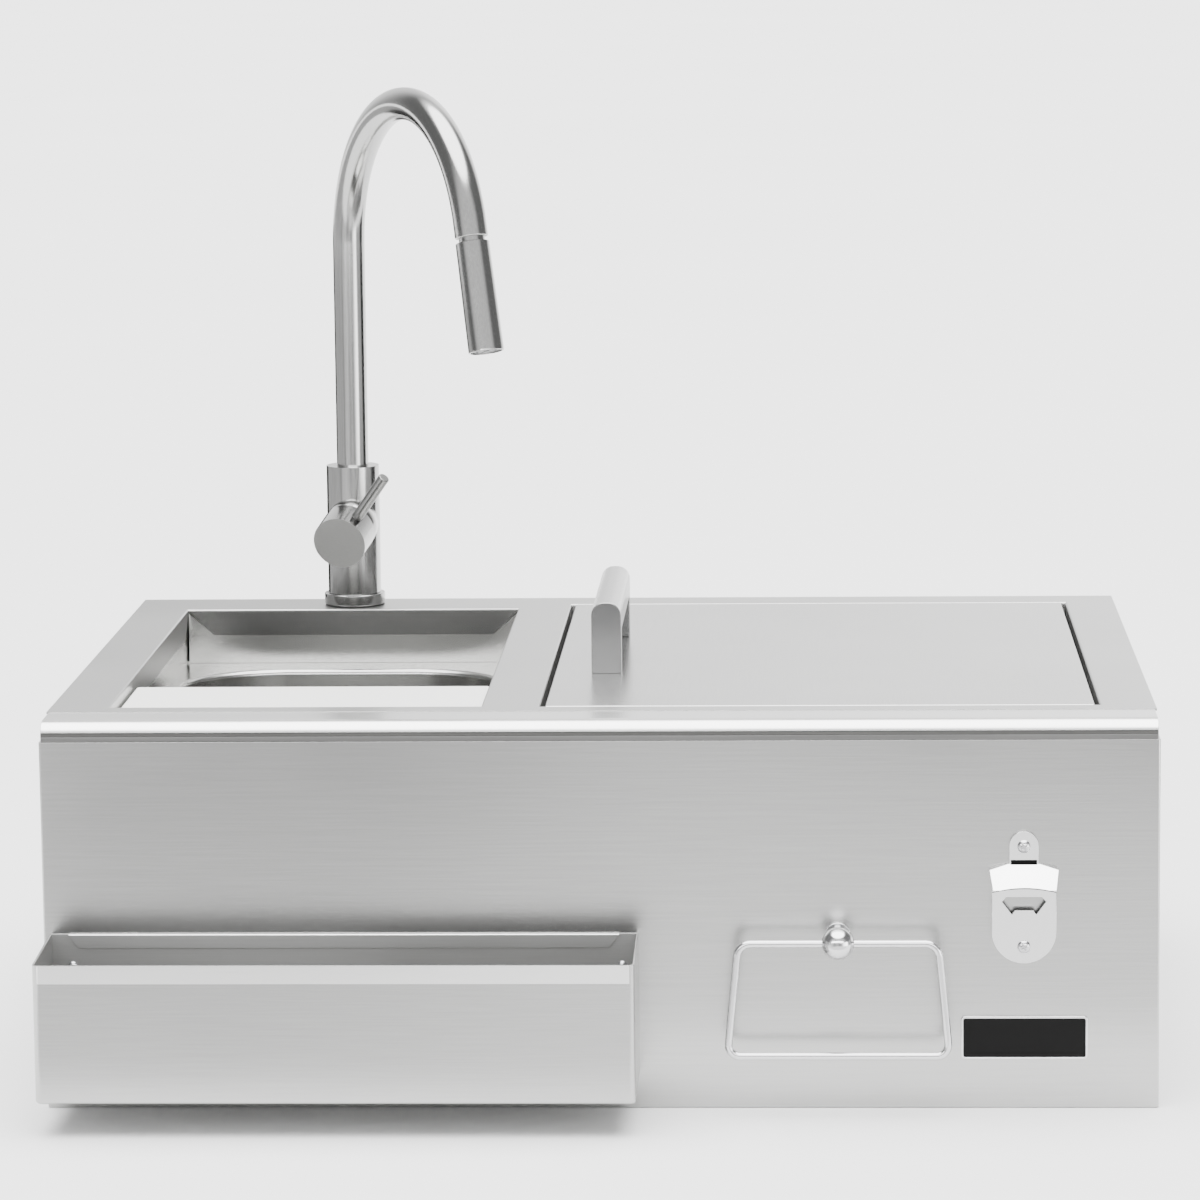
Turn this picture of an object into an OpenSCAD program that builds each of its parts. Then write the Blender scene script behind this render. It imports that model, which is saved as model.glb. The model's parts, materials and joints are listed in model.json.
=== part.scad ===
// Refreshment center: a steel cabinet that drops into a counter, with a sink and
// pull-down tap, an insulated ice chest under a hinged lid, a speed rail for
// bottles, a towel loop and a cap opener.
// Millimetres. The origin is the centre of the cabinet's underside, +Z is up and
// the front panel faces -Y.

/* [Cabinet] */
// Width of the cabinet, side to side
cab_w = 787; // [770:1:860]
// Depth of the cabinet, front panel to back panel
cab_d = 575; // [570:1:620]
// Height of the cabinet, underside to deck
cab_h = 278; // [274:1:320]
// Thickness of the cabinet sheet
sheet = 1.5; // [1:0.1:2]
// Outer radius of the rounded front edge
nose_r = 12.3; // [9:0.1:13]
// Height of the rounded front rail
nose_h = 14; // [13.5:0.1:18]
// Depth of the front rail's flat top, with its nose
rail_top = 41; // [36:1:44]
// How far the front rail's top lies below the deck
rail_step = 0.4; // [0.2:0.1:0.8]
// Shadow gap between the front rail and the front panel
nose_gap = 0.6; // [0.3:0.1:1.5]
// Depth of the folds that stiffen the panels
fold = 15; // [10:1:20]
// Radius of the plumbing holes in the bottom pan
pipe_hole_r = 34; // [30:1:38]

/* [Sink] */
// Distance from the cabinet's left side to the sink opening
sink_left = 42; // [38:1:50]
// Distance from the front panel to the sink opening
sink_front = 60; // [58:1:64]
// Width of the sink opening
sink_w = 266.5; // [255:0.5:275]
// Distance from the back of the cabinet to the sink opening
sink_back = 55; // [54:1:65]
// Height of the folded flange round the sink opening
sink_flange = 21; // [18:1:26]
// Thickness of the collar and the bowl
bowl_t = 1.2; // [0.8:0.1:1.5]
// Drop from the deck to the ledge round the bowl
ledge_drop = 44; // [40:1:50]
// Width of the ledge at the front and the back of the bowl
ledge_end = 33.5; // [25:0.5:45]
// Width of the ledge at the sides of the bowl
ledge_side = 7; // [5:0.5:12]
// Depth of the bowl below its ledge
bowl_depth = 130; // [115:1:132]
// Corner radius of the bowl
bowl_r = 75; // [60:1:85]
// Draft of the bowl's walls, top to bottom
bowl_draft = 6; // [3:1:10]
// Radius between the bowl's walls and its floor
bowl_fillet = 26; // [15:1:35]
// Open slit at the collar's back corners
corner_slit = 0.9; // [0.5:0.1:1.5]

/* [Cutting board] */
// Depth of the board, front to back
board_d = 132; // [100:1:180]
// Thickness of the board
board_t = 12.7; // [10:0.1:16]
// Drop from the deck to the top of the board
board_drop = 8; // [5:0.5:12]
// Clearance between the board and the sink opening
board_gap = 2; // [1:0.1:3]
// Width of the runner that carries the board
runner_w = 12; // [8:1:16]

/* [Strainer and drain] */
// Outer radius of the strainer's flange
strainer_flange_r = 56; // [50:1:60]
// Outer radius of the strainer's cup
strainer_r = 42; // [38:1:44]
// Depth of the strainer's cup
strainer_depth = 36; // [32:1:42]
// Outer radius of the drain's tailpiece
tail_r = 19.05; // [16:0.05:20]
// Height of the tailpiece's end above the cabinet's underside
tail_clear = 14; // [6:1:18]
// Radius of the basket
basket_r = 37; // [33:1:37]
// Height of the basket
basket_h = 26; // [20:1:30]

/* [Ice chest] */
// Distance from the cabinet's right side to the chest opening
chest_right = 39; // [36:1:44]
// Distance from the front panel to the chest opening
chest_front = 58.5; // [57:0.5:64]
// Width of the deck between the sink opening and the chest opening
middle_w = 42; // [36:1:60]
// Distance from the back of the cabinet to the chest opening
chest_back = 33.5; // [30:0.5:45]
// Depth of the bin, rim to floor
bin_depth = 172; // [150:1:175]
// Width of the rim that the lid sits on
bin_rim = 8; // [7:0.5:12]
// Corner radius of the bin
bin_r = 22; // [15:1:35]
// Thickness of the insulation
foam_t = 20; // [12:1:22]
// Outer radius of the bin's drain pipe
bin_pipe_r = 13.3; // [10:0.1:16]
// Height of the bin drain's end above the cabinet's underside
bin_pipe_clear = 12; // [6:1:18]

/* [Lid] */
// Gap between the lid and the opening at the left and right
lid_gap_side = 3.4; // [3:0.1:4.5]
// Gap between the lid and the opening at the front and back
lid_gap_end = 1.5; // [1:0.1:2.5]
// Thickness of the lid without its gasket
lid_t = 24; // [20:1:28]
// Height of the lid's gasket
gasket_t = 3; // [2:0.1:4]
// Width of the lid's gasket
gasket_w = 5; // [4:0.5:6]
// Radius of the lid's hinge pins
pin_r = 2.5; // [2:0.1:3]
// Distance of the hinge pins from the lid's top and right edge
pin_inset = 5; // [4.5:0.1:5.5]

/* [Lid handle] */
// Distance from the lid's left edge to the middle of the handle
handle_left = 38.5; // [30:0.5:60]
// Width of the handle
handle_w = 22; // [18:0.5:28]
// Height of the handle above the lid
handle_h = 53; // [45:1:65]
// Length of the handle
handle_l = 190; // [150:1:240]
// Thickness of the handle's legs, along its length
handle_leg = 17; // [14:1:24]
// Thickness of the handle's grip
grip_t = 22; // [18:1:26]
// Radius of the handle's top corners
grip_r = 8; // [5:0.5:9]

/* [Speed rail] */
// Distance from the cabinet's left side to the speed rail
rail_left = 4.5; // [3:0.5:20]
// Distance from the cabinet's right side to the speed rail
rail_right = 365.5; // [345:0.5:400]
// Depth of the speed rail
rail_d = 87; // [75:1:110]
// Height of the speed rail's back
rail_h = 102; // [85:1:110]
// Height of the speed rail's bottom above the cabinet's underside
rail_up = 24; // [10:1:30]
// How much lower the front of the speed rail is
rail_dip = 3.5; // [2:0.5:6]
// Outer bend radius of the speed rail
rail_bend = 5; // [3:0.5:8]
// Height of the folded hems
hem_h = 10; // [6:1:14]
// Distance from the rail's ends to its hems
hem_end = 13.5; // [10:0.5:20]
// Radius of the rail screws' heads
rail_head_r = 3.2; // [2.8:0.1:5]

/* [Towel loop] */
// Distance from the cabinet's right side to the middle of the towel loop
loop_right = 225.5; // [215:0.5:235]
// Distance from the deck to the loop's top bar
loop_drop = 153.3; // [140:0.1:165]
// Distance from the front panel to the loop
loop_out = 30; // [26:0.5:40]
// Radius of the loop's wire
wire_r = 2.75; // [2:0.05:3.5]
// Width of the loop's top bar
loop_top_w = 139.5; // [120:0.5:150]
// Width of the loop's bottom bar
loop_bottom_w = 155; // [135:0.5:165]
// Height of the loop
loop_h = 80.3; // [60:0.1:90]
// Corner radius of the loop, at the wire's centre
loop_r = 9; // [6:0.5:15]
// Radius of the ball that holds the loop
ball_r = 11.65; // [9:0.05:14]

/* [Cap opener] */
// Distance from the cabinet's right side to the middle of the cap opener
opener_right = 95.2; // [70:0.1:105]
// Distance from the deck to the top of the cap opener
opener_drop = 79.4; // [60:0.1:90]
// Width of the cap opener's body
opener_w = 45; // [40:0.5:50]
// Height of the cap opener
opener_h = 93; // [85:0.5:100]
// Width of the cap opener's tab
opener_tab_w = 20.3; // [16:0.1:24]
// Distance that the hood stands out from the panel
hood_out = 19; // [15:0.5:24]
// Distance between the cap opener's screws
opener_pitch = 70.5; // [69:0.1:72]

/* [Badge] */
// Distance from the cabinet's right side to the middle of the badge
badge_right = 94.5; // [70:0.5:105]
// Height of the badge's middle above the cabinet's underside
badge_up = 50.6; // [30:0.1:60]
// Width of the badge
badge_w = 89; // [60:0.5:100]
// Height of the badge
badge_h = 31; // [20:0.5:40]

/* [Tap] */
// Distance from the sink's middle to the tap, positive to the right
tap_shift = -0.75; // [-20:0.25:20]
// Distance from the back of the cabinet to the tap
tap_back = 27; // [27:0.5:28]
// Radius of the tap's body
body_r = 21.2; // [20.5:0.1:23]
// Height of the tap's body above the deck
body_h = 113.5; // [112:0.5:130]
// Radius of the ring under the tap's body
ring_r = 24.4; // [23.5:0.1:26]
// Height of the top of that ring above the deck
ring_top = 10; // [6:0.5:12]
// Radius of the spout's tube
tube_r = 12.7; // [12.2:0.1:13.5]
// Wall of the spout's tube
tube_t = 1; // [0.8:0.1:1.4]
// Height of the centre of the spout's bend above the deck
bend_z = 292.8; // [250:0.1:330]
// Radius of the spout's bend, at the middle of the tube
bend_r = 115.9; // [100:0.1:130]
// Angle that the spout's bend turns through
bend_angle = 164.7; // [155:0.1:175]
// Direction that the spout points in, from +X
spout_turn = -60.8; // [-90:0.1:0]
// Straight end of the spout's tube
spout_end = 11.6; // [10:0.1:20]
// Radius of the deck hole and the threaded shank in it
shank_r = 16.4; // [15.9:0.1:16.8]
// Length of the shank below the deck
shank_l = 60; // [50:1:80]
// Radius of the supply tails
supply_r = 4.76; // [4.2:0.02:4.8]
// Length of the supply tails below the shank
supply_l = 35; // [25:1:50]

/* [Spray head] */
// Gap that shows between the spout and the spray head
head_gap = 4; // [3:0.5:6]
// Length of the spray head
head_l = 84.8; // [70:0.1:110]
// Radius of the spray head at its top
head_top_r = 12.9; // [12.5:0.1:14]
// Radius of the spray head at its bottom
head_end_r = 13.7; // [13:0.1:15]
// Radius of the spray hose
hose_r = 4.6; // [4:0.1:4.8]
// Length of stiff hose that shows when the head is pulled out
pull = 40; // [30:1:42]

/* [Lever] */
// Height of the lever's axis above the deck
lever_z = 67; // [66:0.5:70]
// Distance from the tap's axis to the point that the lever tilts about
pivot_out = 24.5; // [24:0.1:28]
// Radius of the boss that holds the valve
boss_r = 20.85; // [20:0.05:21]
// Radius of the lever's cap
cap_r = 21.4; // [21:0.1:22.5]
// Length of the lever's cap
cap_l = 26; // [22:0.5:32]
// Distance from the tilt point to the cap's rim
cap_rim = 6; // [6:0.5:8]
// Radius of the lever's rod
rod_r = 3.4; // [2.8:0.1:4]
// Distance from the cap's axis to the rod's tip
rod_reach = 66; // [55:1:90]
// Direction of the rod, up from +X, seen from the front
lever_angle = 55; // [30:1:90]
// Tilt of the lever as shown, where closed is no tilt
lever_tilt = 22; // [0:1:24]

/* [Hidden] */
$fn = 64;

steel = "silver";
chrome = "gainsboro";
// small overlap that keeps a cut clear of a face
e = 1;
// the same for a hollow's mouth
tiny = 0.01;
// clearance of a screw, a tube or a pin in its fixed hole
snug = 0.05;
// radial clearance of a turning or sliding fit
run = 0.06;
// clearance under a piece that rests on another
rest = 0.3;
// sleeve at a bent wire's joints: length, thickness and the gap it bridges
joint_l = 0.5;
joint_t = 0.03;
joint_slack = 0.06;
// ferrule on the end of the spout: thickness, and how far it laps the bend
ferrule_t = 0.15;
ferrule_lap = 0.6;

x_left = -cab_w / 2;
x_right = cab_w / 2;
y_front = -cab_d / 2;
y_back = cab_d / 2;
deck_z = cab_h;
wall_in = 2 * sheet;
// width of the front panel's lip and of its side returns
panel_lip = 10;
panel_return = 20;
// lips of the front rail, and the clearance at the ends of the inner one
nose_lip = 12;
nose_clear = 0.5;
// distance from the front rail to the side panels' top folds
fold_from = 14;
// distance from the tap's axis to the middle of the supply hole
supply_hole_in = 16;

sink_x0 = x_left + sink_left;
sink_x1 = sink_x0 + sink_w;
sink_y0 = y_front + sink_front;
sink_y1 = y_back - sink_back;
sink_l = sink_y1 - sink_y0;
sink_x = (sink_x0 + sink_x1) / 2;
sink_y = (sink_y0 + sink_y1) / 2;
ledge_z = deck_z - ledge_drop;
bowl_w = sink_w - 2 * ledge_side;
bowl_l = sink_l - 2 * ledge_end;
bowl_floor = ledge_z - bowl_depth;
collar_in = sheet;
collar_out = sheet + bowl_t;
collar_fold = 6;

board_top = deck_z - board_drop;
board_z = board_top - board_t;
board_y0 = sink_y0 + board_gap;
runner_z = board_z - rest;
runner_drop = 14;

strainer_t = 1.5;
strainer_top = bowl_floor + strainer_t;
cup_z = strainer_top - strainer_depth;
tail_in_r = tail_r - 1.5;
// the tailpiece is wider where it is held, which makes a stop for the drain pipe
tail_top_r = tail_r + 0.6;
spigot_r = tail_top_r + snug + 2.4;
spigot_z = cup_z - 10;
slip_nut_h = 12;
slip_nut_under = 4;
tail_step_z = spigot_z - slip_nut_under - 3.5;
tail_top = cup_z + strainer_t;
washer_t = 2;
nut_t = 8;

chest_x1 = x_right - chest_right;
chest_x0 = sink_x1 + middle_w;
chest_w = chest_x1 - chest_x0;
chest_y0 = y_front + chest_front;
chest_y1 = y_back - chest_back;
chest_l = chest_y1 - chest_y0;
chest_x = (chest_x0 + chest_x1) / 2;
chest_y = (chest_y0 + chest_y1) / 2;
rim_top = deck_z - lid_t - gasket_t - rest;
rim_out = 10;
bin_w = chest_w - 2 * bin_rim;
bin_l = chest_l - 2 * bin_rim;
bin_floor = rim_top - bin_depth;
bin_fillet = 16;
foam_gap = 0.4;
foam_bottom = bin_floor - bowl_t - foam_gap - foam_t;
drain_flange_r = 24;
drain_flange_t = 1.5;
bin_nut_t = 8;
bin_in_r = bin_pipe_r - 2.5;
// nozzle for a hose below the bin drain's nut
bin_nozzle_r = bin_pipe_r - 0.6;
bin_step_z = foam_bottom - bin_nut_t - 2.5;

lid_x0 = chest_x0 + lid_gap_side;
lid_x1 = chest_x1 - lid_gap_side;
lid_y0 = chest_y0 + lid_gap_end;
lid_y1 = chest_y1 - lid_gap_end;
lid_w = lid_x1 - lid_x0;
lid_l = lid_y1 - lid_y0;
skin_t = 1.2;
pin_x = lid_x1 - pin_inset;
pin_z = deck_z - pin_inset;
pin_in = 12;
handle_x = lid_x0 + handle_left;
handle_y = (lid_y0 + lid_y1) / 2 - 6;
screw_r = 3;
screw_head_r = 6;
screw_head_t = 3;
screw_grip = 14;

rail_x0 = x_left + rail_left;
rail_x1 = x_right - rail_right;
rail_w = rail_x1 - rail_x0;
rail_bottom_z = rail_up;
rail_top_z = rail_bottom_z + rail_h;
rail_front_z = rail_top_z - rail_dip;
rail_screw_left = 16.5;
rail_screw_right = 11.7;
rail_screw_drop = 22.5;
rail_screw_xs = [rail_x0 + rail_screw_left, rail_x1 - rail_screw_right];
rail_screw_z = rail_top_z - rail_screw_drop;
rail_screw_r = 2;
rail_nut_r = 4;
rail_nut_t = 3.2;

loop_x = x_right - loop_right;
loop_z = deck_z - loop_drop;
loop_y = y_front - loop_out;
post_r = 5;
rosette_r = 9;
rosette_t = 3;
loop_screw_r = 2.5;

opener_x = x_right - opener_right;
opener_z = deck_z - opener_drop;
tab_drop = 23;
hood_h = 15;
hood_wide = 3.3;
shell_out = 8;
shell_t = 2.6;
mouth_w = 31;
mouth_drop = 45.6;
mouth_h = 9.8;
mouth_notch = 2.8;
opener_screw_r = 2.4;
opener_head_r = 4.7;
opener_screw_drop = (opener_h - opener_pitch) / 2 - 0.6;

badge_x = x_right - badge_right;
badge_z = badge_up;
badge_rim_w = 1.6;
badge_t = 2.2;
badge_r = 3;

tap_x = sink_x + tap_shift;
tap_y = y_back - tap_back;
pad_t = 1.2;
nut_r = 22.5;
shank_in = shank_r - 1.5;
shank_up = 15;
// the supply tails are narrower from the shank up
supply_top_r = supply_r - 0.6;
supply_off = shank_in - supply_r - snug;
supply_step = 2;
supply_up = 10;
column_in = 21;
bush_t = 1.5;
bush_h = 6;
boss_bore = 14.3;
cart_back = 12.5;
cart_front = 34;
cart_t = 2;
rotor_r = boss_bore - cart_t - 2 * snug;
rotor_half = 5;
stem_r = 2.6;
fork_w = 2 * stem_r + 0.6;
tilt_pin_r = 1.5;
recess_r = sqrt(cap_r * cap_r + cap_rim * cap_rim);
cap_mid = cap_rim + 12.5;

dock_r = tube_r - tube_t - ferrule_t - snug;
dock_in = 8.6;
dock_from = 0.8;
neck_r = 10;
spigot_in = 2.5;
head_from = spout_end + head_gap;
head_to = head_from + head_l;
head_wall = 1.6;
stub_from = -(pull - spigot_in - 4);
hose_end_angle = bend_angle - (4 - stub_from) / bend_r * 180 / PI;

// rounded plate or block: plan corners of radius r, lying on z = 0
module plate(w, l, h, r) {
    linear_extrude(h) rounded(w, l, r);
}

// rounded rectangle centred on the origin
module rounded(w, l, r) {
    square([w - 2 * r, l], center = true);
    square([w, l - 2 * r], center = true);
    for (sx = [-1, 1]) {
        for (sy = [-1, 1]) {
            translate([sx * (w / 2 - r), sy * (l / 2 - r)]) circle(r);
        }
    }
}

// tub shape, mouth at z = 0 and going down by h: w and l at the mouth, plan corner
// radius r, walls drawn in by draft, floor edge rounded by f
module tub(w, l, h, r, draft, f) {
    hull() {
        for (sx = [-1, 1]) {
            for (sy = [-1, 1]) {
                translate([sx * (w / 2 - r), sy * (l / 2 - r), -0.01]) {
                    cylinder(r = r, h = 0.01, $fn = 48);
                }
                translate([sx * (w / 2 - r), sy * (l / 2 - r), f - h]) {
                    tub_foot(r - draft, f);
                }
            }
        }
    }
}

// quarter-round foot of a tub's corner
module tub_foot(r, f) {
    rotate_extrude($fn = 48) {
        square([r - f, 0.01]);
        intersection() {
            translate([r - f, 0]) circle(f, $fn = 32);
            translate([0, -f]) square([r, f]);
        }
        translate([0, -f]) square([r - f, f]);
    }
}

// tube standing on z = 0
module pipe(ro, ri, h) {
    difference() {
        cylinder(r = ro, h = h);
        translate([0, 0, -e]) cylinder(r = ri, h = h + 2 * e);
    }
}

// folded flange: hangs from z = 0 along +X, thickness towards +Y, its lower corners
// cut back by trim
module flange(len, drop, trim, t) {
    translate([0, t, 0]) rotate([90, 0, 0]) linear_extrude(t) {
        polygon([[0, 0], [len, 0], [len, trim - drop], [len - trim, -drop],
            [trim, -drop], [0, trim - drop]]);
    }
}

// four folded flanges round an opening w by l, centred on the origin, each kept
// off its corners by relief
module flange_ring(w, l, drop, trim, relief, t) {
    for (side = [0, 1]) {
        rotate([0, 0, 180 * side]) {
            translate([relief - w / 2, l / 2, 0]) flange(w - 2 * relief, drop, trim, t);
            rotate([0, 0, 90]) translate([relief - l / 2, w / 2, 0]) {
                flange(l - 2 * relief, drop, trim, t);
            }
        }
    }
}

// Cabinet

module deck() {
    color(steel) difference() {
        union() {
            translate([x_left, y_front + rail_top, deck_z - sheet]) {
                cube([cab_w, cab_d - rail_top, sheet]);
            }
            translate([sink_x, sink_y, deck_z]) {
                flange_ring(sink_w, sink_l, sink_flange, sink_flange - 0.5, 0.5, sheet);
            }
            translate([chest_x, chest_y, deck_z]) {
                flange_ring(chest_w, chest_l, deck_z - rim_top, 1, 1, sheet);
            }
        }
        translate([sink_x0, sink_y0, deck_z - sink_flange - e]) {
            cube([sink_w, sink_l, sink_flange + 2 * e]);
        }
        translate([chest_x0, chest_y0, rim_top - e]) {
            cube([chest_w, chest_l, deck_z - rim_top + 2 * e]);
        }
        translate([tap_x, tap_y, deck_z - sheet - e]) {
            cylinder(r = shank_r + 1, h = sheet + 2 * e);
        }
        translate([pin_x, chest_y0 - sheet - e, pin_z]) {
            rotate([-90, 0, 0]) cylinder(r = pin_r + run, h = chest_l + 2 * sheet + 2 * e);
        }
    }
}

// section of the front rail's outside, drawn in by t
module nose_section(t) {
    intersection() {
        translate([nose_r, -nose_r]) circle(nose_r - t);
        translate([0, -nose_r]) square(nose_r);
    }
    translate([nose_r, t - nose_h]) square([rail_top - nose_r, nose_h - 2 * t]);
    translate([t, t - nose_h]) square([nose_r - t, nose_h - nose_r - t]);
}

module nose_rail() {
    w = cab_w - 2 * sheet;
    in_w = cab_w - 2 * wall_in - 2 * nose_clear;
    color(steel) translate([0, y_front, deck_z - rail_step]) rotate([90, 0, 90]) {
        translate([0, 0, -w / 2]) linear_extrude(w) difference() {
            nose_section(0);
            nose_section(sheet);
            translate([nose_lip, -nose_h - e]) square([rail_top, nose_h - sheet + e]);
        }
        for (z = [-w / 2, w / 2 - sheet]) {
            translate([0, 0, z]) linear_extrude(sheet) nose_section(0);
        }
        translate([0, 0, -in_w / 2]) linear_extrude(in_w) {
            translate([rail_top - nose_lip, rail_step - 2 * sheet]) square([2 * nose_lip, sheet]);
        }
    }
}

module front_panel() {
    top = deck_z - rail_step - nose_h;
    color(steel) difference() {
        translate([0, y_front, 0]) {
            translate([x_left, 0, 0]) cube([cab_w, sheet, top - nose_gap]);
            translate([x_left + wall_in, 0, top - sheet]) {
                translate([0, sheet, 0]) cube([cab_w - 2 * wall_in, panel_lip, sheet]);
            }
            translate([x_left + wall_in, sheet, top - fold]) {
                cube([cab_w - 2 * wall_in, sheet, fold]);
            }
            for (side = [0, 1]) {
                mirror([side, 0, 0]) translate([x_left, 0, 0]) {
                    cube([sheet, panel_return, top - nose_gap]);
                }
            }
        }
        for (x = rail_screw_xs) {
            translate([x, y_front - e, rail_screw_z]) {
                rotate([-90, 0, 0]) cylinder(r = rail_screw_r + snug, h = sheet + 2 * e);
            }
        }
        translate([loop_x, y_front - e, loop_z]) {
            rotate([-90, 0, 0]) cylinder(r = loop_screw_r + snug, h = sheet + 2 * e);
        }
        for (drop = [opener_screw_drop, opener_screw_drop + opener_pitch]) {
            translate([opener_x, y_front - e, opener_z - drop]) {
                rotate([-90, 0, 0]) cylinder(r = opener_screw_r + snug, h = sheet + 2 * e);
            }
        }
    }
}

// left side panel, with its top fold under the deck
module side_panel() {
    translate([x_left + sheet, y_front + sheet, 0]) {
        cube([sheet, cab_d - sheet, deck_z - sheet]);
    }
    translate([x_left + sheet, y_front + rail_top + fold_from, deck_z - 2 * sheet]) {
        cube([fold, cab_d - rail_top - fold_from - sheet, sheet]);
    }
}

module side_panel_left() {
    color(steel) side_cut() side_panel();
}

module side_panel_right() {
    color(steel) side_cut() mirror([1, 0, 0]) side_panel();
}

// clears the front rail from a side panel's front corner
module side_cut() {
    difference() {
        children();
        translate([x_left, y_front - e, deck_z - nose_h - rail_step]) {
            cube([cab_w, rail_top + e, nose_h + e + 5]);
        }
    }
}

module back_panel() {
    w = cab_w - 2 * wall_in;
    color(steel) translate([-w / 2, y_back - sheet, 0]) cube([w, sheet, deck_z - sheet]);
}

module bottom_pan() {
    w = cab_w - 2 * wall_in;
    l = cab_d - 2 * sheet;
    color(steel) difference() {
        translate([-w / 2, y_front + sheet, 0]) cube([w, l, sheet]);
        for (p = [[sink_x, sink_y], [chest_x, chest_y], [tap_x, tap_y - supply_hole_in]]) {
            translate([p[0], p[1], -e]) cylinder(r = pipe_hole_r, h = sheet + 2 * e);
        }
    }
}

// Sink

module sink_collar() {
    w = sink_w + 2 * collar_in;
    l = sink_l + 2 * collar_in;
    h = ledge_drop - sheet;
    color(steel) difference() {
        translate([sink_x, sink_y, ledge_z]) {
            difference() {
                translate([0, 0, h / 2]) cube([w + 2 * bowl_t, l + 2 * bowl_t, h], center = true);
                translate([0, 0, h / 2]) cube([w, l, h + 2 * e], center = true);
            }
            difference() {
                translate([0, 0, bowl_t / 2]) {
                    cube([w + 2 * bowl_t + 2 * collar_fold, l + 2 * bowl_t + 2 * collar_fold,
                        bowl_t], center = true);
                }
                cube([w, l, 4 * e], center = true);
            }
        }
        for (x = [sink_x0 - collar_out - e, sink_x1 + collar_in]) {
            translate([x, sink_y1 + collar_in - corner_slit, ledge_z + bowl_t]) {
                cube([bowl_t + e, corner_slit, ledge_drop]);
            }
        }
    }
}

module sink_bowl() {
    rim_w = sink_w + 2 * collar_out + 2 * collar_fold;
    rim_l = sink_l + 2 * collar_out + 2 * collar_fold;
    color(steel) translate([sink_x, sink_y, ledge_z]) difference() {
        union() {
            translate([0, 0, -bowl_t / 2]) cube([rim_w, rim_l, bowl_t], center = true);
            tub(bowl_w + 2 * bowl_t, bowl_l + 2 * bowl_t, bowl_depth + bowl_t,
                bowl_r + bowl_t, bowl_draft, bowl_fillet + bowl_t);
        }
        translate([0, 0, tiny]) {
            tub(bowl_w, bowl_l, bowl_depth + tiny, bowl_r, bowl_draft, bowl_fillet);
        }
        translate([0, 0, -bowl_depth - bowl_t - e]) {
            cylinder(r = strainer_r + 2 * snug, h = bowl_t + bowl_fillet);
        }
    }
}

module board_runners() {
    len = board_d - 8;
    color(steel) for (side = [0, 1]) {
        translate([sink_x, board_y0 + 2, runner_z]) mirror([side, 0, 0]) {
            translate([-sink_w / 2 - collar_in, 0, 0]) {
                translate([0, 0, -bowl_t]) cube([runner_w + collar_in, len, bowl_t]);
                translate([0, 0, -runner_drop]) cube([bowl_t, len, runner_drop]);
            }
        }
    }
}

module cutting_board() {
    w = sink_w - 2 * board_gap;
    color("white") translate([sink_x, board_y0 + board_d / 2, board_z]) {
        plate(w, board_d, board_t, 3);
    }
}

// Strainer and drain

module strainer_body() {
    in_r = strainer_r - strainer_t;
    color(steel) translate([sink_x, sink_y, 0]) rotate_extrude() polygon([
        [in_r, strainer_top], [strainer_flange_r, strainer_top],
        [strainer_flange_r, bowl_floor], [strainer_r, bowl_floor],
        [strainer_r, cup_z], [spigot_r, cup_z], [spigot_r, spigot_z],
        [tail_top_r + snug, spigot_z], [tail_top_r + snug, cup_z + strainer_t],
        [in_r, cup_z + strainer_t]]);
}

module strainer_gasket() {
    color("dimgray") translate([sink_x, sink_y, bowl_floor - bowl_t - washer_t]) {
        pipe(strainer_flange_r - 2, strainer_r + snug, washer_t);
    }
}

module strainer_nut() {
    lugs = 6;
    color("dimgray") translate([sink_x, sink_y, bowl_floor - bowl_t - washer_t - nut_t]) {
        difference() {
            union() {
                cylinder(r = strainer_r + 8, h = nut_t);
                for (i = [0:lugs - 1]) {
                    rotate([0, 0, i * 360 / lugs]) {
                        translate([0, -4, 0]) cube([strainer_r + 12, 8, nut_t]);
                    }
                }
            }
            translate([0, 0, -e]) cylinder(r = strainer_r + snug, h = nut_t + 2 * e);
        }
    }
}

module strainer_basket() {
    z = cup_z + strainer_t + rest;
    t = 1.2;
    holes = 10;
    color(steel) translate([sink_x, sink_y, z]) {
        difference() {
            cylinder(r = basket_r, h = basket_h);
            translate([0, 0, t]) cylinder(r = basket_r - t, h = basket_h);
            for (i = [0:holes - 1]) {
                rotate([0, 0, i * 360 / holes]) {
                    translate([basket_r * 0.62, 0, -e]) cylinder(r = 3, h = t + 2 * e);
                }
            }
        }
        cylinder(r = 2.5, h = basket_h - 2);
        translate([0, 0, basket_h - 4]) cylinder(r = 7, h = 6);
    }
}

module drain_tail() {
    color(chrome) translate([sink_x, sink_y, 0]) rotate_extrude() polygon([
        [tail_in_r, tail_clear], [tail_r, tail_clear], [tail_r, tail_step_z],
        [tail_top_r, tail_step_z], [tail_top_r, tail_top], [tail_in_r, tail_top]]);
}

module slip_nut() {
    color(chrome) translate([sink_x, sink_y, spigot_z - slip_nut_under]) difference() {
        cylinder(r = spigot_r + 4, h = slip_nut_h, $fn = 8);
        translate([0, 0, slip_nut_under]) cylinder(r = spigot_r + snug, h = slip_nut_h);
        translate([0, 0, -e]) cylinder(r = tail_top_r + snug, h = slip_nut_h);
    }
}

// Ice chest

module ice_bin() {
    w = chest_w + 2 * sheet + 2 * rim_out;
    l = chest_l + 2 * sheet + 2 * rim_out;
    color(steel) translate([chest_x, chest_y, rim_top]) difference() {
        union() {
            translate([0, 0, -bowl_t / 2]) cube([w, l, bowl_t], center = true);
            tub(bin_w + 2 * bowl_t, bin_l + 2 * bowl_t, bin_depth + bowl_t,
                bin_r + bowl_t, 0, bin_fillet + bowl_t);
        }
        translate([0, 0, tiny]) tub(bin_w, bin_l, bin_depth + tiny, bin_r, 0, bin_fillet);
        translate([0, 0, -bin_depth - bowl_t - e]) cylinder(r = bin_pipe_r + snug, h = 9 * e);
    }
}

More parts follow.
